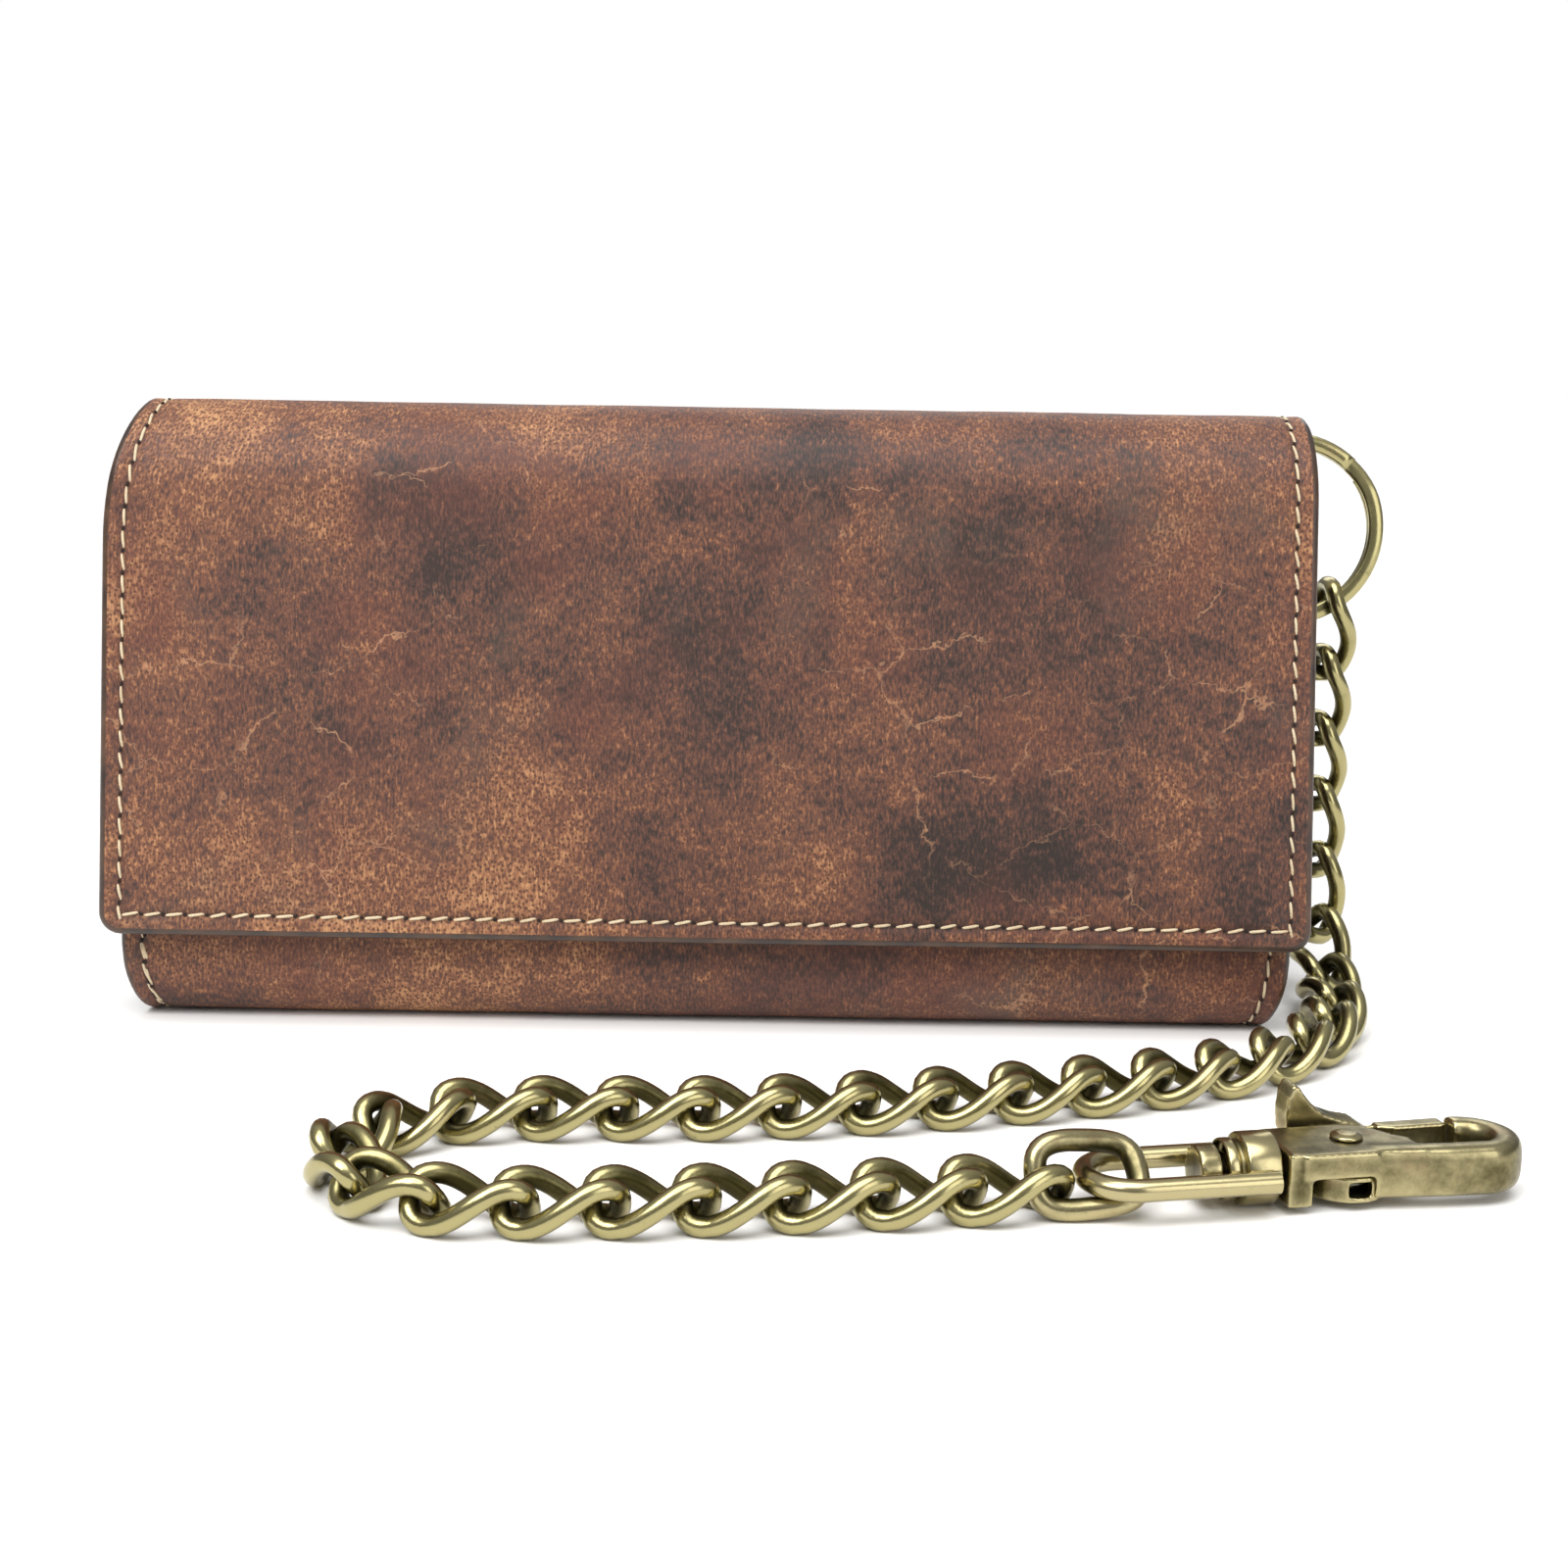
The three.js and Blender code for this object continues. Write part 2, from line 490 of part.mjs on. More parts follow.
// Hook body: a stud with a mushroom head, a base, a plate over the lever's drum, and the C.
const BODY_TOP = 3.3;
const BODY_BOTTOM = -3.2;
const PIVOT = { x: 10, y: 0, pin: 1.25, hole: 1.6 };
const DRUM = { radius: 5.6, bottom: -3.7, top: -0.3 };
const NOSE = { x: 27.2, y: -0.2, outer: 6.6, inner: 2.9, tip: 88 };

const BASE_BLOCK = { thick: 3.4, half: 5.5, bottom: -3.9 };
const STUD = { radius: 1.9, from: -9, head: 3.5, headFrom: -11, headTo: -8 };
const DRUM_CLEARANCE = 0.5;
const BORE_REACH = 6;
function hookOutline() {
  const turn = (radius, from, to, steps) => Array.from({ length: steps + 1 }, (_, i) => {
    const a = THREE.MathUtils.degToRad(from + (to - from) * i / steps);
    return [NOSE.x + radius * Math.cos(a), NOSE.y + radius * Math.sin(a)];
  });
  return [[15, -5.6], ...turn(NOSE.outer, -90, NOSE.tip, 14), ...turn(NOSE.inner, NOSE.tip, -90, 9),
    [20, -2.6], [15, 0]];
}
const PLATE = [[0, -5.5], [16, -5.6], [20, -6.2], [21, -2.8], [17, 0.5], [14.5, 4.4], [11, 5.6], [6, 5.5],
  [0, 5.5]];
const hookBody = cut(
  join(
    rodX(STUD.radius, STUD.from, 1),
    rodX(STUD.head, STUD.headFrom, STUD.headTo, 16),
    box(0, BASE_BLOCK.thick, -BASE_BLOCK.half, BASE_BLOCK.half, BASE_BLOCK.bottom, BODY_TOP),
    prism(PLATE, 0, BODY_TOP),
    prism(hookOutline(), BODY_BOTTOM, BODY_TOP)),
  rodZ(PIVOT.hole, PIVOT.x, PIVOT.y, -BORE_REACH, BORE_REACH),
  rodZ(DRUM.radius + DRUM_CLEARANCE, PIVOT.x, PIVOT.y, -BORE_REACH, 0));
add(hook, 'hook_body', hookBody, BRASS);

// Lever: a drum under the plate, a thumb tab behind it and the gate arm that shuts the mouth.
const leverPivot = new THREE.Group();
leverPivot.position.set(PIVOT.x, PIVOT.y, 0);
hook.add(leverPivot);
const THUMB_TAB = [[-4.6, 11.6], [-3.2, 11.9], [-0.6, 8.6], [4, 6.9]];
const LOWER_ARM = [...THUMB_TAB, [10, 7.1], [15.8, 7.2], [16, 4.9], [10, 4.7], [5.6, 4.9], [3.8, 3.9],
  [0.5, 5.2], [-1.8, 6.6], [-3.3, 9.2]];
const UPPER_ARM = [...THUMB_TAB, [10, 7.1], [15.8, 7.2], [15.9, 6.3], [10, 6.3], [3.8, 6.3], [-1.8, 6.6],
  [-3.3, 9.2]];
const ARM = { bottom: DRUM.bottom + 1.2, lap: 0.2, top: 2.3 };
const KEYHOLE = { half: 1.55, from: -7, to: -3.4, wall: 0.7 };
const SPRING = { radius: 3.3, wire: 0.55, height: -1.8 };
const SPRING_ROOM = { outer: 4.3, inner: 2.4, bottom: -2.9 };
const lever = cut(
  join(
    rodZ(DRUM.radius, 0, 0, DRUM.bottom, DRUM.top, 28),
    prism(LOWER_ARM, ARM.bottom, DRUM.top),
    prism(UPPER_ARM, DRUM.top - ARM.lap, ARM.top)),
  rodZ(PIVOT.hole, 0, 0, -BORE_REACH, BORE_REACH),
  box(-KEYHOLE.half, KEYHOLE.half, KEYHOLE.from, KEYHOLE.to, DRUM.bottom + KEYHOLE.wall,
    DRUM.top - KEYHOLE.wall));
const springRoom = cut(rodZ(SPRING_ROOM.outer, 0, 0, SPRING_ROOM.bottom, 1, 24),
  rodZ(SPRING_ROOM.inner, 0, 0, -4, 2, 24));
add(leverPivot, 'hook_lever', cut(lever, springRoom), BRASS);
add(leverPivot, 'lever_spring', new THREE.TorusGeometry(SPRING.radius, SPRING.wire, 6, 20)
  .translate(0, 0, SPRING.height), DARK_STEEL);
const PIN = { bottom: -4, shoulder: BODY_TOP + 0.15, head: 2.2, rim: 1.6, rimTop: BODY_TOP + 0.7,
  top: BODY_TOP + 0.85 };
const pinProfile = [[0, PIN.bottom], [PIVOT.pin, PIN.bottom], [PIVOT.pin, PIN.shoulder],
  [PIN.head, PIN.shoulder], [PIN.rim, PIN.rimTop], [0, PIN.top]].map(([r, h]) => new THREE.Vector2(r, h));
add(leverPivot, 'lever_pin', new THREE.LatheGeometry(pinProfile, 14).rotateX(across), BRASS);

export default root;
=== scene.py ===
"""Long leather chain wallet, closed and leaning back, with its split ring, curb chain and swivel hook.

Shapes are worked out in millimetres and scaled to metres when a mesh is made.
"""
import bisect
import json
import math

import bmesh
import bpy
import numpy as np
from mathutils import Matrix, Vector, noise


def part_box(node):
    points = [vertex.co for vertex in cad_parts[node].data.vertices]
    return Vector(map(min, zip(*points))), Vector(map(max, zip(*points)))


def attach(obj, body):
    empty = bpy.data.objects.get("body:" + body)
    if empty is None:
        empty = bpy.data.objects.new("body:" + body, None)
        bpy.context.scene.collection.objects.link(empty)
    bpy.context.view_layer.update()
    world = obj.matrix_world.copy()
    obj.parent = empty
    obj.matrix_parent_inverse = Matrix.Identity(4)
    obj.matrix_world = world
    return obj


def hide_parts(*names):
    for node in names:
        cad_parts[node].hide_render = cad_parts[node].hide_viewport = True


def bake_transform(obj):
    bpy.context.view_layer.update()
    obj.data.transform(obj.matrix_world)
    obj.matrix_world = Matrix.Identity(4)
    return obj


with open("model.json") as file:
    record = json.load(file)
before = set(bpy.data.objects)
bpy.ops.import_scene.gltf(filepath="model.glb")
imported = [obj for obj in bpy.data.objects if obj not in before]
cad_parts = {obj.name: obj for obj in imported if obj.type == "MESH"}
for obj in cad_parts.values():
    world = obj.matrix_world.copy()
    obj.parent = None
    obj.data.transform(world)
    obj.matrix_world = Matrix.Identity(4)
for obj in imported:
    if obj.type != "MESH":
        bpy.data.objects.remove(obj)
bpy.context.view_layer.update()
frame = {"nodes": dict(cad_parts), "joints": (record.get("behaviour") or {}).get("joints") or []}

MM = 0.001
JOINTS = {joint["name"]: joint for joint in frame["joints"]}
TAU = 2 * math.pi


def add_object(name, data):
    made = bpy.data.objects.new(name, data)
    bpy.context.scene.collection.objects.link(made)
    return made


# ---------- camera, floor and light ----------
def set_camera():
    camera = add_object("camera", bpy.data.cameras.new("camera"))
    camera.data.lens = 56.25
    camera.data.sensor_width = 36
    camera.data.clip_start = 0.01
    look_down, tilt = math.radians(11.3), math.radians(0.93)
    camera.matrix_world = (
        Matrix.Translation((0.012, -0.386, 0.115))
        @ Matrix.Rotation(math.pi / 2 - look_down, 4, "X")
        @ Matrix.Rotation(tilt, 4, "Z")
    )
    bpy.context.scene.camera = camera


def add_softbox(name, place, size, power, towards=(0, -0.02, 0.04), tint=(1, 1, 1)):
    light = bpy.data.lights.new(name, "AREA")
    light.shape = "RECTANGLE"
    light.size, light.size_y = size
    light.energy = power
    light.color = tint
    lamp = add_object(name, light)
    lamp.location = place
    lamp.rotation_euler = (Vector(towards) - Vector(place)).to_track_quat("-Z", "Y").to_euler()
    lamp.visible_camera = False


# ---------- node trees ----------
class Socket:
    """An output socket that reads like a number in sums."""

    def __init__(self, maker, socket):
        self.maker, self.socket = maker, socket

    def _sum(self, operation, *terms):
        return self.maker.node("ShaderNodeMath", {"operation": operation}, dict(enumerate(terms)))

    def __add__(self, other):
        return self._sum("ADD", self, other)

    def __sub__(self, other):
        return self._sum("SUBTRACT", self, other)

    def __rsub__(self, other):
        return self._sum("SUBTRACT", other, self)

    def __mul__(self, other):
        return self._sum("MULTIPLY", self, other)

    def over(self, other):
        return self._sum("MAXIMUM", self, other)

    __radd__ = __add__


class Maker:
    """Adds nodes to one tree."""

    def __init__(self, tree):
        self.tree = tree

    def node(self, kind, settings=None, sockets=None, out=0):
        made = self.tree.nodes.new(kind)
        for key, value in (settings or {}).items():
            if key == "stops":
                ramp = made.color_ramp
                while len(ramp.elements) < len(value):
                    ramp.elements.new(1)
                for element, (position, color) in zip(ramp.elements, value):
                    element.position, element.color = position, color
            else:
                setattr(made, key, value)
        for key, value in (sockets or {}).items():
            if isinstance(value, Socket):
                self.tree.links.new(value.socket, made.inputs[key])
            else:
                made.inputs[key].default_value = value
        return Socket(self, made.outputs[out]) if made.outputs else made


def paint(code):
    """A screen colour code as the linear colour that shaders use."""
    screen = [int(code[i : i + 2], 16) / 255 for i in (1, 3, 5)]
    return (*[c / 12.92 if c <= 0.04045 else ((c + 0.055) / 1.055) ** 2.4 for c in screen], 1)


class Finish(Maker):
    """One material, grown from a Principled shader."""

    def __init__(self, name):
        self.material = bpy.data.materials.new(name)
        self.material.use_nodes = True
        super().__init__(self.material.node_tree)
        self.tree.nodes.clear()
        self.place = self.node("ShaderNodeTexCoord", out="Object")

    def stretched(self, x, y, z, vector=None):
        return self.node("ShaderNodeMapping", {}, {"Vector": vector or self.place, "Scale": (x, y, z)})

    def noise(self, scale, detail=3, roughness=0.5, vector=None, out="Fac"):
        return self.node(
            "ShaderNodeTexNoise",
            {},
            {"Vector": vector or self.place, "Scale": scale, "Detail": detail, "Roughness": roughness},
            out=out,
        )

    def cells(self, vector, scale=1.0, feature="F1", dimensions="2D", randomness=1.0):
        return self.node(
            "ShaderNodeTexVoronoi",
            {"voronoi_dimensions": dimensions, "feature": feature},
            {"Vector": vector, "Scale": scale, "Randomness": randomness},
            out="Distance",
        )

    def step(self, value, low, high):
        """0 below low, 1 above high, smooth between; low above high turns it round."""
        return self.node(
            "ShaderNodeMapRange",
            {"interpolation_type": "SMOOTHSTEP"},
            {"Value": value, "From Min": low, "From Max": high, "To Min": 0.0, "To Max": 1.0},
        )

    def mix(self, factor, first, second):
        return self.node("ShaderNodeMix", {"data_type": "RGBA"}, {0: factor, 6: first, 7: second}, out=2)

    def ramp(self, value, *stops):
        painted = [(at, paint(code)) for at, code in stops]
        return self.node("ShaderNodeValToRGB", {"stops": painted}, {"Fac": value}, out="Color")

    def mark(self, name):
        return self.node("ShaderNodeAttribute", {"attribute_name": name}, out="Fac")

    def spot(self, x, y, z, radius, vector):
        """1 at a place on the piece, falling to 0 at the radius, all in millimetres."""
        away = self.node("ShaderNodeVectorMath", {"operation": "DISTANCE"},
                         {0: vector, 1: (x * MM, y * MM, z * MM)}, out="Value")
        return self.step(away, radius * MM, radius * MM * 0.15)

    def bump(self, height, distance, strength=1.0, normal=None):
        sockets = {"Height": height, "Distance": distance * MM, "Strength": strength}
        if normal:
            sockets["Normal"] = normal
        return self.node("ShaderNodeBump", {}, sockets)

    def done(self, **sockets):
        """Ends the tree in a Principled shader; underscores in names stand for spaces."""
        named = {key.replace("_", " "): value for key, value in sockets.items()}
        shader = self.node("ShaderNodeBsdfPrincipled", {}, named)
        self.node("ShaderNodeOutputMaterial", {}, {"Surface": shader})
        return self.material


# ---------- finishes ----------
# Where the leather is rubbed tan or stained dark: x, y, z, radius in millimetres, and how strongly.
TAN_SPOTS = [
    (-75, -8, 90, 32, 0.13), (-88, -12, 62, 20, 0.11), (-86, -16, 30, 18, 0.1), (-24, -2, 93, 20, 0.1),
    (80, -9, 84, 24, 0.13), (-4, -9, 77, 11, 0.08), (-18, -10, 64, 13, 0.08), (15, -14, 28, 12, 0.09),
    (52, -13, 43, 15, 0.05), (-32, -13, 41, 16, 0.04), (-45, -12, 5, 50, 0.17), (58, -12, 7, 24, 0.07),
    (90, -10, 60, 15, 0.08), (-70, -12, 30, 13, 0.07),
]
DARK_SPOTS = [
    (-41, -8, 83, 19, 0.13), (19, -4, 91, 16, 0.13), (46, -13, 33, 21, 0.14), (33, -13, 29, 13, 0.1),
    (0, -10, 66, 26, 0.05), (54, -10, 67, 26, 0.03), (-37, -10, 68, 18, 0.07), (66, -11, 5, 17, 0.1),
    (-60, -12, 48, 22, 0.05), (88, -14, 26, 18, 0.08),
]
# Where the leather has cracked: x, y, z and radius in millimetres.
CRACKED_SPOTS = [
    (-80, -12, 50, 26), (-56, -14, 22, 24), (40, -12, 50, 34), (60, -14, 22, 20), (80, -12, 58, 30),
]
SWIRL_REACH = 16
# The heights, in metres, between which the crown turns lighter.
CROWN_RUB = 0.091, 0.0962


def wallet_leather(name, stained=True):
    """Waxed brown cowhide with tan rub-through, dark stains, pores, nap and fine cracks."""
    f = Finish(name)
    skin = f.node("ShaderNodeAttribute", {"attribute_name": "skin"}, out="Vector")

    def stirred(vector, scale, reach):
        return f.node("ShaderNodeVectorMath", {"operation": "MULTIPLY_ADD"},
                      {0: f.noise(scale, 4, 0.65, out="Color"), 1: (reach * MM,) * 3, 2: vector})

    swirl = stirred(f.place, 55, SWIRL_REACH)
    broad = f.noise(21, 5, 0.62, swirl)
    middle = f.noise(72, 6, 0.7, swirl)
    cloudy = f.noise(200, 5, 0.7)
    grit = f.noise(1, 4, 0.75, f.stretched(950, 620, 1, skin))
    nap = f.noise(1, 3, 0.65, f.stretched(2600, 820, 1, skin))
    inset = f.mark("inset")
    tone = broad * 0.52 + middle * 0.62 + cloudy * 0.34 + (grit - 0.5) * 0.62 + (nap - 0.5) * 0.95 - 0.315
    tone = tone + f.step(inset, 4.0, 0.8) * f.step(middle, 0.38, 0.6) * 0.08
    cracked = f.step(broad, 0.52, 0.6)
    if stained:
        # The swirl moves every place by half its reach on average.
        drift = SWIRL_REACH / 2
        for x, y, z, radius, weight in TAN_SPOTS:
            tone = tone + f.spot(x + drift, y + drift, z + drift, radius, swirl) * weight
        for x, y, z, radius, weight in DARK_SPOTS:
            tone = tone - f.spot(x + drift, y + drift, z + drift, radius, swirl) * weight
        height = f.node("ShaderNodeSeparateXYZ", {}, {0: f.place}, out="Z")
        tone = tone + f.step(height, *CROWN_RUB) * 0.06
        for x, y, z, radius in CRACKED_SPOTS:
            cracked = cracked.over(f.spot(x, y, z, radius, f.place))
    color = f.ramp(tone, (0.2, "#2a211d"), (0.33, "#412e28"), (0.43, "#5b3b30"), (0.52, "#714935"),
                   (0.62, "#8d5f42"), (0.76, "#b4855c"))
    # Greyish patches where the wax is rubbed: the greyish colour is painted sheen, the lower roughness given
    # below is the wax's real gloss.
    wax_and_painted_sheen = f.step(f.noise(30, 4, 0.6, swirl), 0.54, 0.72)
    color = f.mix(wax_and_painted_sheen * 0.42, color, paint("#54483f"))
    reddish = f.step(f.noise(38, 3, 0.6), 0.48, 0.72)
    color = f.mix(reddish * 0.35, color, paint("#63352a"))
    pore = f.cells(f.stretched(1250, 1080, 1, skin), randomness=0.85)
    pores = f.step(pore, 0.36, 0.14) * f.step(tone + (middle - 0.5) * 0.5, 0.4, 0.6)
    color = f.mix(pores * 0.8, color, paint("#43261b"))
    wandering = stirred(stirred(skin, 150, 9.0), 900, 0.8)
    crack = f.cells(f.stretched(56, 84, 1, wandering), feature="DISTANCE_TO_EDGE")
    veins = f.step(crack, 0.02, 0.001) * cracked * f.step(f.noise(140, 3, 0.6), 0.4, 0.6)
    color = f.mix(veins * 0.62, color, paint("#b98a66"))
    fleck = f.step(f.noise(1, 3, 0.6, f.stretched(700, 420, 1, skin)), 0.7, 0.78) * f.step(middle, 0.52, 0.62)
    color = f.mix(fleck * 0.55, color, paint("#bd9270"))
    color = f.mix(f.step(inset, 1.0, 0.4), color, paint("#33211a"))
    stitched = f.step(inset, 2.4, 3.2) * f.step(inset, 4.3, 3.5)
    color = f.mix(stitched * 0.3, color, paint("#2e1e17"))
    relief = f.bump(nap * 0.7 + grit * 0.5 - pores * 0.8 + veins * 0.4 + cloudy * 0.6, 0.16, 0.45)
    relief = f.bump(middle, 0.7, 0.3, relief)
    return f.done(Base_Color=color, Roughness=0.56 + (grit - 0.5) * 0.25 + tone * 0.1 - wax_and_painted_sheen * 0.06,
                  Normal=relief, Specular_IOR_Level=0.36, Coat_Weight=0.04, Coat_Roughness=0.4)


def edge_paint():
    """Burnished and painted leather edge: nearly black brown, glossy, a little lumpy."""
    f = Finish("edge_paint")
    lumps = f.noise(420, 3)
    color = f.ramp(f.noise(210, 4), (0.35, "#2a1b14"), (0.6, "#46301f"), (0.8, "#5d4130"))
    return f.done(Base_Color=color, Roughness=0.3 + lumps * 0.2, Normal=f.bump(lumps, 0.2, 0.5),
                  Coat_Weight=0.2, Coat_Roughness=0.2)


def lining_leather():
    """Plain dark brown lining leather with a fine pebble."""
    f = Finish("lining_leather")
    pebble = f.cells(f.place, 1100, "SMOOTH_F1", "3D")
    mottle = f.noise(45, 5, 0.6)
    color = f.ramp(mottle + (pebble - 0.5) * 0.2, (0.2, "#241711"), (0.5, "#3b271d"), (0.8, "#543a2a"))
    color = f.mix(f.step(f.mark("inset"), 0.5, 0.1), color, paint("#21150f"))
    return f.done(Base_Color=color, Roughness=0.52 + mottle * 0.15,
                  Normal=f.bump(pebble + f.noise(2400, 2) * 0.4, 0.12, 0.6))


def pocket_cloth():
    """Dark twill of the coin pocket and the zip's tapes."""
    f = Finish("pocket_cloth")
    warp = f.node("ShaderNodeTexWave", {"wave_type": "BANDS", "bands_direction": "DIAGONAL"},
                  {"Vector": f.place, "Scale": 620.0, "Distortion": 0.8, "Detail": 1.0}, out="Fac")
    fuzz = f.noise(1900, 3, 0.7)
    color = f.ramp(warp * 0.6 + fuzz * 0.4, (0.2, "#191412"), (0.55, "#2d2420"), (0.9, "#453830"))
    return f.done(Base_Color=color, Roughness=0.85 + fuzz * 0.1, Normal=f.bump(warp + fuzz * 0.5, 0.1, 0.6),
                  Sheen_Weight=0.15, Sheen_Roughness=0.5)


def stitch_thread():
    """Cream waxed thread, twisted from three strands."""
    f = Finish("stitch_thread")
    strands = f.node("ShaderNodeTexWave", {"wave_type": "BANDS", "bands_direction": "DIAGONAL"},
                     {"Vector": f.place, "Scale": 1300.0, "Distortion": 1.0}, out="Fac")
    grime = f.noise(240, 4, 0.6)
    color = f.mix(f.step(grime, 0.4, 0.75) * 0.5, paint("#dccbab"), paint("#b39670"))
    color = f.mix((1 - strands) * 0.3, color, paint("#a98d66"))
    return f.done(Base_Color=color, Roughness=0.62 + grime * 0.2, Normal=f.bump(strands, 0.08, 0.6))


# Near-black dots laid in each needle hole between stitches: painted shade of the hole.
def needle_hole():
    f = Finish("needle_hole")
    return f.done(Base_Color=f.ramp(f.noise(500), (0.3, "#140c08"), (0.7, "#2a1a12")), Roughness=0.9)


def antique_brass(name, bright, dull, pink=0.2, rubbed=(0.36, 0.88)):
    """Plated brass, tarnished in its hollows and rubbed bright where it is touched; on chain links and the
    end link the inner side of each loop is painted darker as shade.
    """
    f = Finish(name)
    wear = f.mark("wear")
    cloud = f.noise(230, 5, 0.65)
    flecks = f.noise(1250, 4, 0.7)
    broad = f.noise(60, 3, 0.5)
    # shine follows the marks: on chain links and the end link it is painted shade on the inner side of each
    # loop and painted light on the outer side, elsewhere tarnish in hollows and rubbed edges.
    shine = f.step(wear * 0.62 + cloud * 0.62 + (flecks - 0.5) * 0.14 + (broad - 0.5) * 0.4, *rubbed)
    color = f.mix(shine, paint(dull), paint(bright))
    color = f.mix(f.step(f.noise(170, 3, 0.6), 0.55, 0.8) * pink, color, paint("#a98a6c"))
    color = f.mix(f.step(f.noise(420, 4, 0.7), 0.63, 0.78) * 0.5, color, paint("#3b3721"))
    return f.done(Base_Color=color, Metallic=1.0 - f.step(flecks, 0.7, 0.85) * 0.25,
                  Roughness=0.39 - shine * 0.16 + (flecks - 0.5) * 0.1,
                  Normal=f.bump(cloud * 0.7 + flecks * 0.2, 0.09, 0.28))


def zip_metal():
    f = Finish("zip_metal")
    dirt = f.noise(600, 4, 0.6)
    return f.done(Base_Color=f.ramp(dirt, (0.3, "#4a422a"), (0.7, "#a29468")), Metallic=1.0,
                  Roughness=0.3 + dirt * 0.2, Normal=f.bump(dirt, 0.05, 0.4))


def spring_steel():
    f = Finish("spring_steel")
    drawn = f.noise(1, 3, 0.5, f.stretched(300, 300, 4000))
    return f.done(Base_Color=f.ramp(drawn, (0.3, "#6c6961"), (0.7, "#98948a")), Metallic=1.0,
                  Roughness=0.28 + drawn * 0.15)


def pale_floor():
    f = Finish("pale_floor")
    faint = f.noise(3, 2)
    return f.done(Base_Color=f.ramp(faint, (0.3, "#f3f2f0"), (0.7, "#f6f5f3")), Roughness=0.85,
                  Specular_IOR_Level=0.1)


def set_studio():
    scene = bpy.context.scene
    scene.view_settings.view_transform = "Standard"
    world = bpy.data.worlds.new("studio")
    scene.world = world
    world.use_nodes = True
    w = Maker(world.node_tree)
    world.node_tree.nodes.clear()
    height = w.node("ShaderNodeSeparateXYZ", {}, {0: w.node("ShaderNodeTexCoord", out="Generated")}, out="Z")
    greys = [(0.35, 0.16, 0.16), (0.5, 0.2, 0.2), (0.75, 0.4, 0.41), (1, 0.62, 0.63)]
    stops = [(at, (wax_and_painted_sheen, wax_and_painted_sheen, blue, 1)) for at, wax_and_painted_sheen, blue in greys]
    room = w.node("ShaderNodeValToRGB", {"stops": stops}, {"Fac": height * 0.5 + 0.5}, out="Color")
    seen = w.node("ShaderNodeLightPath", out="Is Camera Ray")
    tint = w.node("ShaderNodeMix", {"data_type": "RGBA"}, {0: seen, 6: room, 7: (1, 1, 1, 1)}, out=2)
    glow = w.node("ShaderNodeBackground", {}, {"Color": tint, "Strength": 1.0})
    w.node("ShaderNodeOutputWorld", {}, {"Surface": glow})
    add_softbox("key_above_left", (-0.36, -0.5, 0.62), (0.5, 0.4), 4.0)
    add_softbox("fill_front_right", (0.55, -0.62, 0.3), (0.35, 0.5), 1.3)
    add_softbox("back", (0.1, 0.75, 0.5), (0.6, 0.4), 1.4)
    sun = bpy.data.lights.new("overhead", "SUN")
    sun.energy, sun.angle = 2.3, math.radians(50)
    lamp = add_object("overhead", sun)
    lamp.rotation_euler = (math.radians(16), 0, 0)
    floor = bpy.data.meshes.new("floor")
    radius, sides = 3, 64
    turns = [TAU * i / sides for i in range(sides)]
    rim = [(radius * math.cos(a), radius * math.sin(a), 0) for a in turns]
    floor.from_pydata(rim, [], [list(range(sides))])
    floor.materials.append(pale_floor())
    ground = add_object("floor", floor)


set_camera()
set_studio()
LEATHER = wallet_leather("wallet_leather")
STRAP_HIDE = wallet_leather("strap_leather", stained=False)
EDGE = edge_paint()
LINING = lining_leather()
CLOTH = pocket_cloth()
THREAD = stitch_thread()
HOLE_SHADE = needle_hole()
BRASS = antique_brass("antique_brass", bright="#a69d70", dull="#4b4628")
HOOK_BRASS = antique_brass("hook_brass", bright="#b0a57c", dull="#4a452b", pink=0.45, rubbed=(0.42, 0.92))
TEETH = zip_metal()
STEEL = spring_steel()

# ---------- making meshes ----------
replaced = set()


def make_piece(name, mesh, body, slot, *nodes):
    obj = add_object(name, mesh)
    if body:
        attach(obj, body)
    fresh = [n for n in nodes if n not in replaced]
    if fresh:
        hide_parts(*fresh)
        replaced.update(fresh)
    return obj


def new_mesh(name, vertices, faces, materials, face_slots=None):
    """A smooth mesh from millimetres, with its faces turned outwards."""
    mesh = bpy.data.meshes.new(name)
    mesh.from_pydata([Vector(v) * MM for v in vertices], [], faces)
    for material in materials:
        mesh.materials.append(material)
    if face_slots:
        mesh.polygons.foreach_set("material_index", face_slots)
    work = bmesh.new()
    work.from_mesh(mesh)
    bmesh.ops.recalc_face_normals(work, faces=work.faces)
    work.to_mesh(mesh)
    work.free()
    mesh.polygons.foreach_set("use_smooth", [True] * len(mesh.polygons))
    mesh.update()
    return mesh


def tube_faces(rings, count):
    """The sides and both ends of a tube made of rings of count points."""
    faces = []
    for i in range(rings - 1):
        for k in range(count):
            m = (k + 1) % count
            faces.append((i * count + k, i * count + m, (i + 1) * count + m, (i + 1) * count + k))
    return faces + [tuple(range(count)), tuple(range((rings - 1) * count, rings * count))]


def settled(obj):
    """The mesh of an object with its modifiers applied; the object itself is removed."""
    made = bpy.data.meshes.new_from_object(obj.evaluated_get(bpy.context.evaluated_depsgraph_get()))
    bpy.data.objects.remove(obj)
    return made


def mark_points(mesh, name, values, kind="FLOAT"):
    """Stores a number or a vector for each point of a mesh."""
    marks = mesh.attributes.new(name, kind, "POINT")
    marks.data.foreach_set("value" if kind == "FLOAT" else "vector", values)


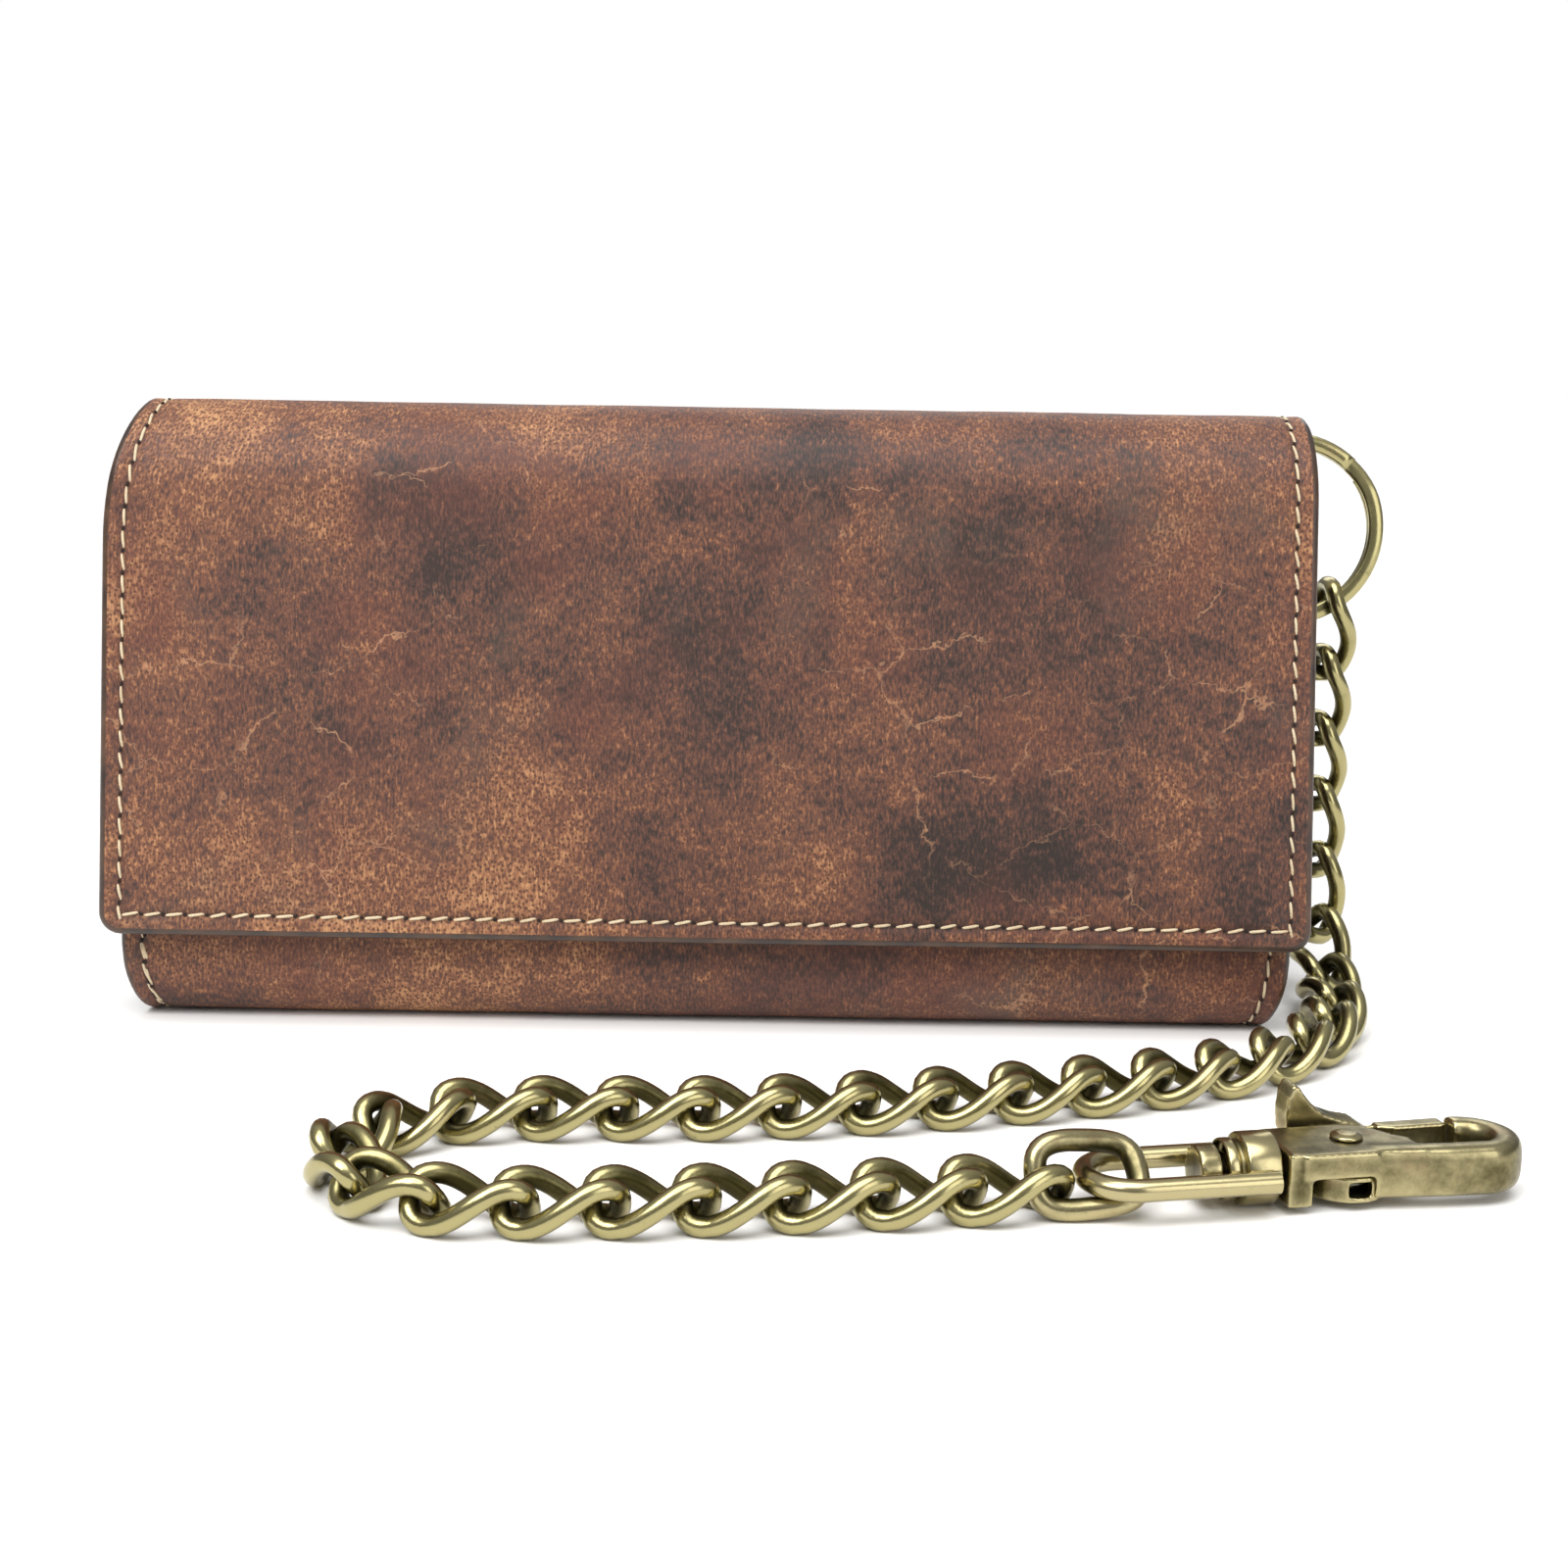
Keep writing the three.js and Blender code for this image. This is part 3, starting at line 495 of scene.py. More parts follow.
def mark_wear(mesh, passes, gain):
    """Marks how far each point stands out of its surroundings, from 0 in a hollow to 1 on an edge."""
    count = len(mesh.vertices)
    at = np.empty(count * 3)
    mesh.vertices.foreach_get("co", at)
    at = at.reshape(-1, 3)
    out = np.empty(count * 3)
    mesh.vertex_normals.foreach_get("vector", out)
    out = out.reshape(-1, 3)
    ends = np.empty(len(mesh.edges) * 2, int)
    mesh.edges.foreach_get("vertices", ends)
    a, b = ends[::2], ends[1::2]
    many = np.bincount(a, minlength=count) + np.bincount(b, minlength=count)
    calm = at
    for _ in range(passes):
        total = np.zeros_like(calm)
        for axis in range(3):
            total[:, axis] = np.bincount(a, calm[b, axis], count) + np.bincount(b, calm[a, axis], count)
        calm = total / np.maximum(many, 1)[:, None]
    stand = ((at - calm) * out).sum(1) / MM
    mark_points(mesh, "wear", np.clip(0.5 + stand * gain, 0, 1).astype(np.float32))


class Path:
    """A line in a plane, with its corners rounded, measured along its length."""

    def __init__(self, *corners, step=2.4, turn=0.14):
        points = []
        for i, (corner, radius) in enumerate(corners):
            corner = Vector(corner)
            if not radius or i in (0, len(corners) - 1):
                points.append(corner)
                continue
            before = (Vector(corners[i - 1][0]) - corner).normalized()
            after = (Vector(corners[i + 1][0]) - corner).normalized()
            angle = before.angle(after)
            centre = corner + (before + after).normalized() * (radius / math.sin(angle / 2))
            start = corner + before * (radius / math.tan(angle / 2)) - centre
            sweep = start.angle_signed(corner + after * (radius / math.tan(angle / 2)) - centre)
            steps = max(4, math.ceil(abs(sweep) / turn))
            points += [centre + Matrix.Rotation(-sweep * k / steps, 2) @ start for k in range(steps + 1)]
        self.points, self.along = [points[0]], [0.0]
        for point in points[1:]:
            gap = (point - self.points[-1]).length
            if gap < 1e-4:
                continue
            pieces = math.ceil(gap / step)
            first = self.points[-1]
            for k in range(1, pieces + 1):
                self.points.append(first.lerp(point, k / pieces))
                self.along.append(self.along[-1] + gap / pieces)
        self.length = self.along[-1]
        self.heading = []
        last = len(self.points) - 1
        for i in range(last + 1):
            self.heading.append((self.points[min(i + 1, last)] - self.points[max(i - 1, 0)]).normalized())

    def at(self, v):
        """The point and outward side at a length, and past the ends along the end's heading."""
        i = min(max(bisect.bisect_right(self.along, v) - 1, 0), len(self.points) - 2)
        share = (v - self.along[i]) / (self.along[i + 1] - self.along[i])
        point = self.points[i] + (self.points[i + 1] - self.points[i]) * share
        heading = self.heading[i].lerp(self.heading[i + 1], min(max(share, 0), 1)).normalized()
        return point, Vector((heading.y, -heading.x))


STITCH_INSET = 3.3
STITCH_PITCH = 3.4
THREAD_WIDTH = 0.47
# How far in from an edge the rows of points lie: close together where the leather is stitched.
CLOSE_BANDS = (0, 0.5, 1.1, 1.8, 2.3, 2.7, 3.0, 3.3, 3.6, 3.9, 4.3, 5.0, 6.2, 8.2, 11.5)
PLAIN_BANDS = (0, 0.6, 1.6, 3.4, 6.5)


class Hide:
    """A sheet of leather or cloth that follows a path, with rounded edges.

    space turns (across, point in the path's plane) into a place; half_width(v) is its outline.
    """

    def __init__(self, path, half_width, space, thickness, depth=0.0, rim=0.7, corner=(0, 0),
                 bands=PLAIN_BANDS, relief=None, spacing=4.5):
        self.path, self.space, self.depth, self.thickness = path, space, depth, thickness
        self.half_width, self.rim, self.corner = half_width, rim, corner
        self.relief = relief or (lambda x, v: 0.0)
        total = path.length
        rows = {round(v, 4) for v in path.along if rim < v < total - rim}
        for end, radius in enumerate(corner):
            marks = [rim + band for band in bands]
            if radius:
                marks += [radius - (radius - rim) * math.sin(math.pi / 2 * k / 6) for k in range(7)]
            rows |= {round(m if end == 0 else total - m, 4) for m in marks if m < total / 2}
        rows = sorted(rows)
        self.rows = rows[:1] + [v for before, v in zip(rows, rows[1:]) if v - before > 0.05]
        widest = max(half_width(v) for v in self.rows) - rim
        middle = widest - bands[-1]
        count = max(2, round(2 * middle / spacing))
        self.columns = [(-1, band) for band in bands[:-1]]
        self.columns += [(0, -1 + 2 * k / count) for k in range(count + 1)]
        self.columns += [(1, band) for band in reversed(bands[:-1])]
        self.last_band = bands[-1]

    def reach(self, v):
        """Half the width of the flat part at v, inside the rounded edge and the corners."""
        reach = self.half_width(v) - self.rim
        for end, radius in enumerate(self.corner):
            into = radius - v if end == 0 else v - (self.path.length - radius)
            if radius and into > 0:
                inner = radius - self.rim
                reach += math.sqrt(max(inner * inner - into * into, 0)) - inner
        return reach

    def inset(self, x, v):
        sides = [self.half_width(v) - abs(x)]
        sides += [v if end == 0 else self.path.length - v for end, radius in enumerate(self.corner) if radius]
        return min(sides)

    def place(self, x, v, depth):
        point, side = self.path.at(v)
        return self.space(x, point - side * depth)

    def top(self, x, v, lift=0.0):
        """A place on the outer face and the way out of it."""
        depth = self.depth - self.relief(x, v)
        at = self.place(x, v, depth - lift)
        return at, (self.place(x, v, depth - 1) - self.place(x, v, depth)).normalized()

    def mesh(self, name, face, edge, back=None):
        vertices, inset, skin, faces, slots = [], [], [], [], []
        spots = []
        for v in self.rows:
            reach = self.reach(v)
            for side, at in self.columns:
                x = side * (reach - at) if side else at * (reach - self.last_band)
                spots.append((x, v))
        wide, tall = len(self.columns), len(self.rows)
        for under in (False, True):
            for x, v in spots:
                depth = self.depth + self.thickness if under else self.depth - self.relief(x, v)
                vertices.append(self.place(x, v, depth))
                inset.append(self.inset(x, v))
                skin += (x, v, 0)
        for level in (0, 1):
            base = level * wide * tall
            for j in range(tall - 1):
                for i in range(wide - 1):
                    a = base + j * wide + i
                    faces.append((a, a + 1, a + wide + 1, a + wide))
                    slots.append(2 if level and back else 0)
        ring = list(range(wide)) + [j * wide + wide - 1 for j in range(1, tall)]
        ring += [(tall - 1) * wide + i for i in range(wide - 2, -1, -1)]
        ring += [j * wide for j in range(tall - 2, 0, -1)]
        loops = [ring]
        rounds = 4
        for k in range(1, rounds + 1):
            turn = math.pi * k / (rounds + 1)
            start = len(vertices)
            for n, index in enumerate(ring):
                before, after = spots[ring[n - 1]], spots[ring[(n + 1) % len(ring)]]
                ahead = Vector((after[0] - before[0], after[1] - before[1])).normalized()
                x, v = spots[index]
                out = self.rim * math.sin(turn)
                depth = self.depth + self.thickness / 2 * (1 - math.cos(turn))
                vertices.append(self.place(x + ahead.y * out, v - ahead.x * out, depth))
                inset.append(0.0)
                skin += (x, v, 0)
            loops.append(list(range(start, start + len(ring))))
        loops.append([index + wide * tall for index in ring])
        for near, far in zip(loops, loops[1:]):
            for n in range(len(ring)):
                m = (n + 1) % len(ring)
                faces.append((near[n], near[m], far[m], far[n]))
                slots.append(1)
        made = new_mesh(name, vertices, faces, [face, edge] + ([back] if back else []), slots)
        mark_points(made, "inset", inset)
        mark_points(made, "skin", [c * MM for c in skin], "FLOAT_VECTOR")
        return made

    def row(self, spots, lift=0.12):
        """Places and outward ways along a broken line of (across, along) spots on the outer face."""
        result = []
        for (x0, v0), (x1, v1) in zip(spots, spots[1:]):
            steps = max(1, math.ceil(math.hypot(x1 - x0, v1 - v0) / 1.2))
            for k in range(steps):
                result.append(self.top(x0 + (x1 - x0) * k / steps, v0 + (v1 - v0) * k / steps, lift))
        return result + [self.top(*spots[-1], lift)]


# ---------- Geometry Nodes for stitches, wires and teeth ----------
class Grower(Maker):
    """A geometry tree with named inputs."""

    def __init__(self, name, **inputs):
        super().__init__(bpy.data.node_groups.new(name, "GeometryNodeTree"))
        face = self.tree.interface
        face.new_socket("Geometry", in_out="INPUT", socket_type="NodeSocketGeometry")
        for key, kind in inputs.items():
            face.new_socket(key, in_out="INPUT", socket_type="NodeSocket" + kind)
        face.new_socket("Geometry", in_out="OUTPUT", socket_type="NodeSocketGeometry")
        self.given_node = self.tree.nodes.new("NodeGroupInput")

    def given(self, name):
        return Socket(self, self.given_node.outputs[name])

    def finish(self, geometry):
        self.node("NodeGroupOutput", {}, {0: geometry})
        return self.tree

    def vector(self, x=0.0, y=0.0, z=0.0):
        return self.node("ShaderNodeCombineXYZ", {}, {0: x, 1: y, 2: z})

    def tube(self, line, sides, radius):
        """A capped tube along a line."""
        profile = self.node("GeometryNodeCurvePrimitiveCircle", {}, {"Resolution": sides, "Radius": radius})
        return self.node("GeometryNodeCurveToMesh", {},
                         {"Curve": line, "Profile Curve": profile, "Fill Caps": True})

    def repeated(self, points, thing, turn, **more):
        return self.node("GeometryNodeInstanceOnPoints", {},
                         {"Points": points, "Instance": thing, "Rotation": turn, **more})

    def coated(self, geometry, finish):
        return self.node("GeometryNodeSetMaterial", {},
                         {"Geometry": geometry, "Material": self.given(finish)})

    def along_row(self, pitch):
        """Points along the given line, and their turn: Z out of the leather, X along the row."""
        line = self.node("GeometryNodeMeshToCurve", {}, {"Mesh": self.given("Geometry")})
        even = self.node("GeometryNodeResampleCurve", {"mode": "LENGTH"}, {"Curve": line, "Length": pitch})
        heading = self.node("GeometryNodeInputTangent")
        out = self.node("GeometryNodeInputNamedAttribute", {"data_type": "FLOAT_VECTOR"}, {"Name": "out"})
        stand = self.node("FunctionNodeAlignRotationToVector", {"axis": "Z"}, {"Vector": out})
        turn = self.node("FunctionNodeAlignRotationToVector", {"axis": "X", "pivot_axis": "Z"},
                         {"Rotation": stand, "Vector": heading})
        return even, turn, heading


def stitching_tree():
    g = Grower("stitching", Pitch="Float", Length="Float", Thread="Float", Slant="Float", Seed="Int",
               ThreadFinish="Material", HoleFinish="Material")
    even, turn, heading = g.along_row(g.given("Pitch"))
    reach = g.given("Length") * 0.5
    arc = g.node("GeometryNodeCurveQuadraticBezier", {},
                 {"Resolution": 5, "Start": g.vector(reach * -1.0, 0.0, g.given("Thread") * -0.75),
                  "Middle": g.vector(0.0, 0.0, g.given("Thread") * 0.9),
                  "End": g.vector(reach, 0.0, g.given("Thread") * -0.75)})
    stitch = g.tube(arc, 6, g.given("Thread") * 0.5)
    wobble = g.node("FunctionNodeRandomValue", {"data_type": "FLOAT"},
                    {"Min": -0.09, "Max": 0.09, "Seed": g.given("Seed")}, out=1)
    twist = g.node("FunctionNodeAxisAngleToRotation", {},
                   {"Axis": (0, 0, 1), "Angle": g.given("Slant") + wobble})
    slant = g.node("FunctionNodeRotateRotation", {"rotation_space": "LOCAL"},
                   {"Rotation": turn, "Rotate By": twist})
    threads = g.coated(g.repeated(even, stitch, slant), "ThreadFinish")
    # A dark dot halfway between stitches: painted shade in each needle hole.
    dot = g.node("GeometryNodeMeshUVSphere", {}, {"Segments": 7, "Rings": 4, "Radius": g.given("Thread")})
    step = g.node("ShaderNodeVectorMath", {"operation": "SCALE"},
                  {0: heading, "Scale": g.given("Pitch") * 0.5})
    moved = g.node("GeometryNodeSetPosition", {}, {"Geometry": even, "Offset": step})
    hole_shades = g.coated(g.repeated(moved, dot, turn, Scale=g.vector(0.8, 0.62, 0.3)), "HoleFinish")
    both = g.node("GeometryNodeJoinGeometry")
    join = both.socket.node.inputs[0]
    g.tree.links.new(threads.socket, join)
    g.tree.links.new(hole_shades.socket, join)
    real = g.node("GeometryNodeRealizeInstances", {}, {"Geometry": both})
    return g.finish(g.node("GeometryNodeSetShadeSmooth", {}, {"Geometry": real}))


def wire_tree():
    g = Grower("wire", Radius="Float", Sides="Int", Finish="Material")
    line = g.node("GeometryNodeMeshToCurve", {}, {"Mesh": g.given("Geometry")})
    swell = g.node("GeometryNodeInputNamedAttribute", {"data_type": "FLOAT"}, {"Name": "swell"})
    line = g.node("GeometryNodeSetCurveRadius", {}, {"Curve": line, "Radius": swell})
    made = g.tube(line, g.given("Sides"), g.given("Radius"))
    scale = made.socket.node.inputs.get("Scale")
    if scale:
        g.tree.links.new(swell.socket, scale)
    real = g.node("GeometryNodeRealizeInstances", {}, {"Geometry": made})
    return g.finish(g.coated(g.node("GeometryNodeSetShadeSmooth", {}, {"Geometry": real}), "Finish"))


def teeth_tree():
    g = Grower("teeth", Pitch="Float", Size="Vector", Finish="Material")
    even, turn, _ = g.along_row(g.given("Pitch"))
    tooth = g.node("GeometryNodeMeshCube", {}, {"Size": g.given("Size")})
    real = g.node("GeometryNodeRealizeInstances", {}, {"Geometry": g.repeated(even, tooth, turn)})
    return g.finish(g.coated(real, "Finish"))


STITCHING, WIRE, ZIP_TEETH = stitching_tree(), wire_tree(), teeth_tree()


def grow(tree, rows, closed=False, marks=None, **values):
    """Runs a tree on lines of places in millimetres, with or without their ways out, and returns the mesh.

    marks swells or narrows the line at each place.
    """
    mesh = bpy.data.meshes.new("row")
    vertices, edges, outs = [], [], []
    for row in rows:
        start = len(vertices)
        for at in row:
            place, out = at if isinstance(at, tuple) else (at, Vector((0, 0, 1)))
            vertices.append(place * MM)
            outs += list(out)
        edges += [(i, i + 1) for i in range(start, len(vertices) - 1)]
        if closed:
            edges.append((len(vertices) - 1, start))
    mesh.from_pydata(vertices, edges, [])
    mark_points(mesh, "out", outs, "FLOAT_VECTOR")
    mark_points(mesh, "swell", marks or [1.0] * len(vertices))
    source = add_object("row", mesh)
    modifier = source.modifiers.new("grow", "NODES")
    modifier.node_group = tree
    for item in tree.interface.items_tree:
        if item.in_out == "INPUT" and item.name in values:
            modifier[item.identifier] = values[item.name]
    return settled(source)


def stitch_mesh(*rows, slant=0.32, seed=1, pitch=STITCH_PITCH, length=2.75):
    return grow(STITCHING, rows, Pitch=pitch * MM, Length=length * MM, Thread=THREAD_WIDTH * MM, Slant=slant,
                Seed=seed, ThreadFinish=THREAD, HoleFinish=HOLE_SHADE)


# ---------- the leaning wallet ----------
# In millimetres: s is measured up the wallet's slope, and t from its middle towards its back.
# HEIGHT, FLAP_BOTTOM and LIP are s; HALF_THICKNESS and FLAP_FACE are t. FLAP_HALF is half the flap's
# width at the crown and at its bottom edge. The lining stays LINING_BACK from the leather's sides.
LEAN = math.radians(6)
HEIGHT = 97.5
HALF_WIDTH = 92.7
HALF_THICKNESS = 11.9
SKIN = 1.7
LINING_DEPTH = 1.85
FLAP_FACE = -16.65
FLAP_BOTTOM = 13.5
FLAP_HALF = (93.3, 95.0)
FOLD = 14.275
LIP = 82
UNDER_SEAM = 6.2
SWAY = 0.45
CROWN_STARTS, CROWN_RISE, CROWN_DRAWN = 76, 21, 3.9
HEEL_HEIGHT, HEEL_DRAWN = 13, 2.4
FLAP_CORNER = 3.5
LINING_BACK = 0.35


def on_slope(s, t):
    """(y, z) of a place s up the leaning wallet and t from its middle towards its back."""
    return Vector((s * math.sin(LEAN) + t * math.cos(LEAN), s * math.cos(LEAN) - t * math.sin(LEAN)))


def lean(x, s, t):
    return Vector((x, *on_slope(s, t)))


def clamp(value):
    """The value, kept between 0 and 1."""
    return min(1, max(0, value))


def wallet_space(x, p):
    """Keeps the path's (y, z), with the sway of hand-made leather and a crown drawn in at its left."""
    sway = SWAY * noise.noise(Vector((x / 62, p.y / 55, 1.7))) * clamp((p.y - 4) / 20)
    rise = clamp((p.y - CROWN_STARTS) / CROWN_RISE)
    drawn = CROWN_DRAWN * rise * rise * max(0, -x / HALF_WIDTH) ** 3
    return Vector((x + drawn, p.x + sway, p.y))


def draw_in(z):
    """How far each side of the leather draws in towards the bottom fold."""
    return HEEL_DRAWN * max(0.0, 1 - z / HEEL_HEIGHT) ** 1.6


heel = (HALF_THICKNESS / math.cos(LEAN), 0)
cover_path = Path(((UNDER_SEAM, 0), 0), (heel, 3.5), (on_slope(HEIGHT, HALF_THICKNESS), FOLD),
                  (on_slope(HEIGHT, FLAP_FACE), FOLD), (on_slope(FLAP_BOTTOM, FLAP_FACE), 0))
front_path = Path((on_slope(LIP, -HALF_THICKNESS), 0), ((-heel[0], 0), 9), ((UNDER_SEAM - 0.1, 0), 0))
crown_v = cover_path.length - (HEIGHT - FOLD - FLAP_BOTTOM) - math.pi / 2 * FOLD


def cover_half_width(v):
    point, _ = cover_path.at(v)
    if v < crown_v:
        widened = clamp(1 - (crown_v - v) / 20)
        return HALF_WIDTH + (FLAP_HALF[0] - HALF_WIDTH) * widened - draw_in(point.y)
    return FLAP_HALF[0] + (FLAP_HALF[1] - FLAP_HALF[0]) * (v - crown_v) / (cover_path.length - crown_v)


def front_half_width(v):
    return HALF_WIDTH - draw_in(front_path.at(v)[0].y)


def pulled_in(hide_inset):
    """How far the thread pulls the leather in, at a distance from the edge."""
    return -0.3 * math.exp(-(((hide_inset - STITCH_INSET) / 0.8) ** 2))


def wallet_relief(half_width, end_length, seed):
    """The ripple of the leather and the dip along its stitches, none of it close to the edge."""
    def relief(x, v):
        edge = half_width(v) - abs(x)
        if end_length:
            edge = min(edge, end_length - v)
        broad = 0.12 * noise.noise(Vector((x / 16, v / 13, seed)))
        fine = 0.05 * noise.noise(Vector((x / 5, v / 5, seed)))
        return (pulled_in(edge) + (broad + fine) * min(1, edge / 6)) if edge > 0.7 else 0.0
    return relief


cover = Hide(cover_path, cover_half_width, wallet_space, SKIN, rim=1.0, corner=(0, FLAP_CORNER),
             bands=CLOSE_BANDS, relief=wallet_relief(cover_half_width, cover_path.length, 3.1), spacing=3.6)
front = Hide(front_path, front_half_width, wallet_space, SKIN, rim=0.75, bands=CLOSE_BANDS,
             relief=wallet_relief(front_half_width, None, 8.4), spacing=3.6)

HINGE_T = -2.375
crown_y, crown_z = on_slope(HEIGHT, HINGE_T)


def hinge_piece(name, mesh, slot, *nodes):
    """A piece that reaches from the back panel over the crown to the flap."""
    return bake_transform(make_piece(name, mesh, None, slot, *nodes))


hinge_piece("cover_leather", cover.mesh("cover_leather", LEATHER, EDGE), "leather", "outer_shell", "flap")
make_piece("front_leather", front.mesh("front_leather", LEATHER, EDGE), "wallet", "leather")

inner_cover = Hide(cover_path, lambda v: cover_half_width(v) - LINING_BACK, wallet_space, 1.1,
                   depth=LINING_DEPTH, rim=0.5, corner=(0, FLAP_CORNER))
inner_front = Hide(front_path, lambda v: front_half_width(v) - LINING_BACK, wallet_space, 0.95,
                   depth=LINING_DEPTH, rim=0.45)
hinge_piece("cover_lining", inner_cover.mesh("cover_lining", LINING, EDGE), "inner_leather", "shell_lining",
            "flap_lining")
make_piece("front_lining", inner_front.mesh("front_lining", LINING, EDGE), "wallet", "inner_leather")


def side_line(hide, side, start, end):
    """A stitch line at the usual distance from a side edge."""
    steps = max(2, round(abs(end - start) / 4))
    marks = [start + (end - start) * k / steps for k in range(steps + 1)]
    return [(side * (hide.half_width(v) - STITCH_INSET), v) for v in marks]


EVEN_SLANT = 0.17
bottom_v = cover_path.length - STITCH_INSET
bottom_x = cover_half_width(bottom_v) - STITCH_INSET - STITCH_PITCH / 2
hinge_piece("cover_stitches", stitch_mesh(
    cover.row(side_line(cover, -1, 6, bottom_v)),
    cover.row([(-bottom_x, bottom_v), (bottom_x, bottom_v)]),
    cover.row(side_line(cover, 1, 6, bottom_v)), slant=EVEN_SLANT), "leather")
seam_end = front_path.length - 7
tack = side_line(front, -1, front_path.length - 30, front_path.length - 17)
lip_x = HALF_WIDTH - STITCH_INSET
make_piece("front_stitches", stitch_mesh(
    front.row(side_line(front, -1, 2.5, seam_end)),
    front.row(side_line(front, 1, 2.5, seam_end)),
    front.row([(x + 0.5, v + 1.2) for x, v in tack]),
    front.row([(-lip_x, STITCH_INSET), (lip_x, STITCH_INSET)]), slant=EVEN_SLANT, seed=4),
    "wallet", "leather")


# ---------- inside the wallet ----------
def page(half, bottom, top, t, thickness, name):
    """A flat leaf that stands in the wallet with its front face at t."""
    path = Path((Vector((top, t)), 0), (Vector((bottom, t)), 0), step=5)
    leaf = Hide(path, lambda v: half, lambda x, p: lean(x, p.x, p.y), thickness, rim=thickness / 2,
                corner=(3, 3), spacing=6)
    return leaf, leaf.mesh(name, LINING, EDGE)


def join_meshes(name, meshes):
    """One mesh from several, keeping their materials and marks."""
    parts = []
    for mesh in meshes:
        parts.append(add_object(name, mesh))
    first = parts[0]
    with bpy.context.temp_override(active_object=first, selected_editable_objects=parts, object=first):
        bpy.ops.object.join()
    mesh = first.data
    bpy.data.objects.remove(first)
    return mesh


INNER_STITCH = {"pitch": 3, "length": 2.3}
for name, t in (("card_page_front", -5.1), ("card_page_back", 4.2)):
    leaf, mesh = page(80, 7.5, 79, t, 0.9, name)
    make_piece(name + "_leather", mesh, "wallet", "inner_leather", name)
    if t < 0:
        top_row = leaf.row([(-77, 2.6), (77, 2.6)])
        make_piece("card_page_stitches", stitch_mesh(top_row, seed=5, **INNER_STITCH), "wallet", "leather")
SLOT_BOTTOM = 8.5
slot_meshes, slot_rows = [], []
for step, top in enumerate((72, 62, 52)):
    leaf, mesh = page(79, SLOT_BOTTOM, top, -5.7 - 0.5 * step, 0.45, "card_slot")
    slot_meshes.append(mesh)
    low = top - SLOT_BOTTOM if step == 2 else 9.4
    slot_rows += [leaf.row([(x, 1.2), (x, low)], 0.02) for x in (-76.6, 0, 76.6)]
slot_mesh = join_meshes("card_slot_leaves", slot_meshes)
make_piece("card_slot_leaves", slot_mesh, "wallet", "inner_leather", "card_slots")
make_piece("card_slot_stitches", stitch_mesh(*slot_rows, seed=6, **INNER_STITCH), "wallet", "leather")

front_t, back_t = -3.8, 3.8
floor_s, lip_s = 7.5, 66
pouch_half = 78
POUCH_BEND = 2.6
pouch_path = Path(((front_t, lip_s), 0), ((front_t, floor_s), POUCH_BEND), ((back_t, floor_s), POUCH_BEND),
                  ((back_t, lip_s), 0), step=4)
pouch = Hide(pouch_path, lambda v: pouch_half, lambda x, p: lean(x, p.y, p.x), 0.8, rim=0.35,
             relief=lambda x, v: -0.25 * abs(noise.noise(Vector((x / 9, v / 14, 2.0)))), spacing=3)
pouch_meshes = [pouch.mesh("coin_pouch", CLOTH, CLOTH)]
for side in (-1, 1):
    outer_x = side * (pouch_half - 0.6)
    fold = Path(((outer_x, front_t + 0.9), 0), ((side * (pouch_half - 5), 0), 0.7),
                ((outer_x, back_t - 0.9), 0), step=1.5)
    wall = Hide(fold, lambda v: (lip_s - floor_s) / 2 - 1.2,
                lambda u, p: lean(p.x, (lip_s + floor_s) / 2 + u, p.y), 0.5, rim=0.25, spacing=5)
    pouch_meshes.append(wall.mesh("coin_pouch_side", CLOTH, CLOTH))
make_piece("coin_pouch", join_meshes("coin_pouch", pouch_meshes), "wallet", "pocket_cloth", "coin_pocket")

ZIP_S = lip_s + 0.3
ZIP_HALF = 76
for side, name in ((-1, "front"), (1, "back")):
    tape_path = Path(((ZIP_S + 0.35, side * 3.75), 0), ((ZIP_S + 0.35, side * 1.2), 0), step=0.8)
    tape = Hide(tape_path, lambda v: ZIP_HALF, lambda x, p: lean(x, p.x, p.y), 0.3, depth=-0.15, rim=0.12,
                bands=(0, 0.2), spacing=4)
    shift = side * 0.4
    row = [(lean(x, ZIP_S + 0.65, side * 0.8), Vector((0, math.sin(LEAN), math.cos(LEAN))))
           for x in np.linspace(-ZIP_HALF + 1 + shift, ZIP_HALF - 1 + shift, 40)]
    teeth = grow(ZIP_TEETH, [row], Pitch=1.6 * MM, Size=(0.75 * MM, 0.95 * MM, 1.9 * MM), Finish=TEETH)
    half = join_meshes(f"zip_{name}", [tape.mesh("tape", CLOTH, CLOTH), teeth])
    make_piece(f"zip_{name}", half, "wallet", "zip_metal", f"zip_half_{name}")

GUSSET_MIDDLE, GUSSET_HALF = 43.8, 34.2
PLEAT_OUT, PLEAT_IN = 90.2, 84
for side, name in ((-1, "left"), (1, "right")):
    pleats = []
    for i, t in enumerate((-8.5, -5.6, -2.8, 0, 2.8, 5.6, 8.5)):
        pleats.append(((side * (PLEAT_IN if i % 2 else PLEAT_OUT), t), 1.0 if 0 < i < 6 else 0))
    fold = Path(*pleats, step=1.6, turn=0.4)
    gusset = Hide(fold, lambda v: GUSSET_HALF, lambda u, p: lean(p.x, GUSSET_MIDDLE + u, p.y), 0.85,
                  depth=-0.42, rim=0.4, spacing=4,
                  relief=lambda x, v: 0.1 * noise.noise(Vector((x / 6, v / 4, 5.0))))
    mesh = gusset.mesh(f"gusset_{name}", LINING, EDGE)
    make_piece(f"gusset_{name}_leather", mesh, "wallet", "inner_leather", f"gusset_{name}")


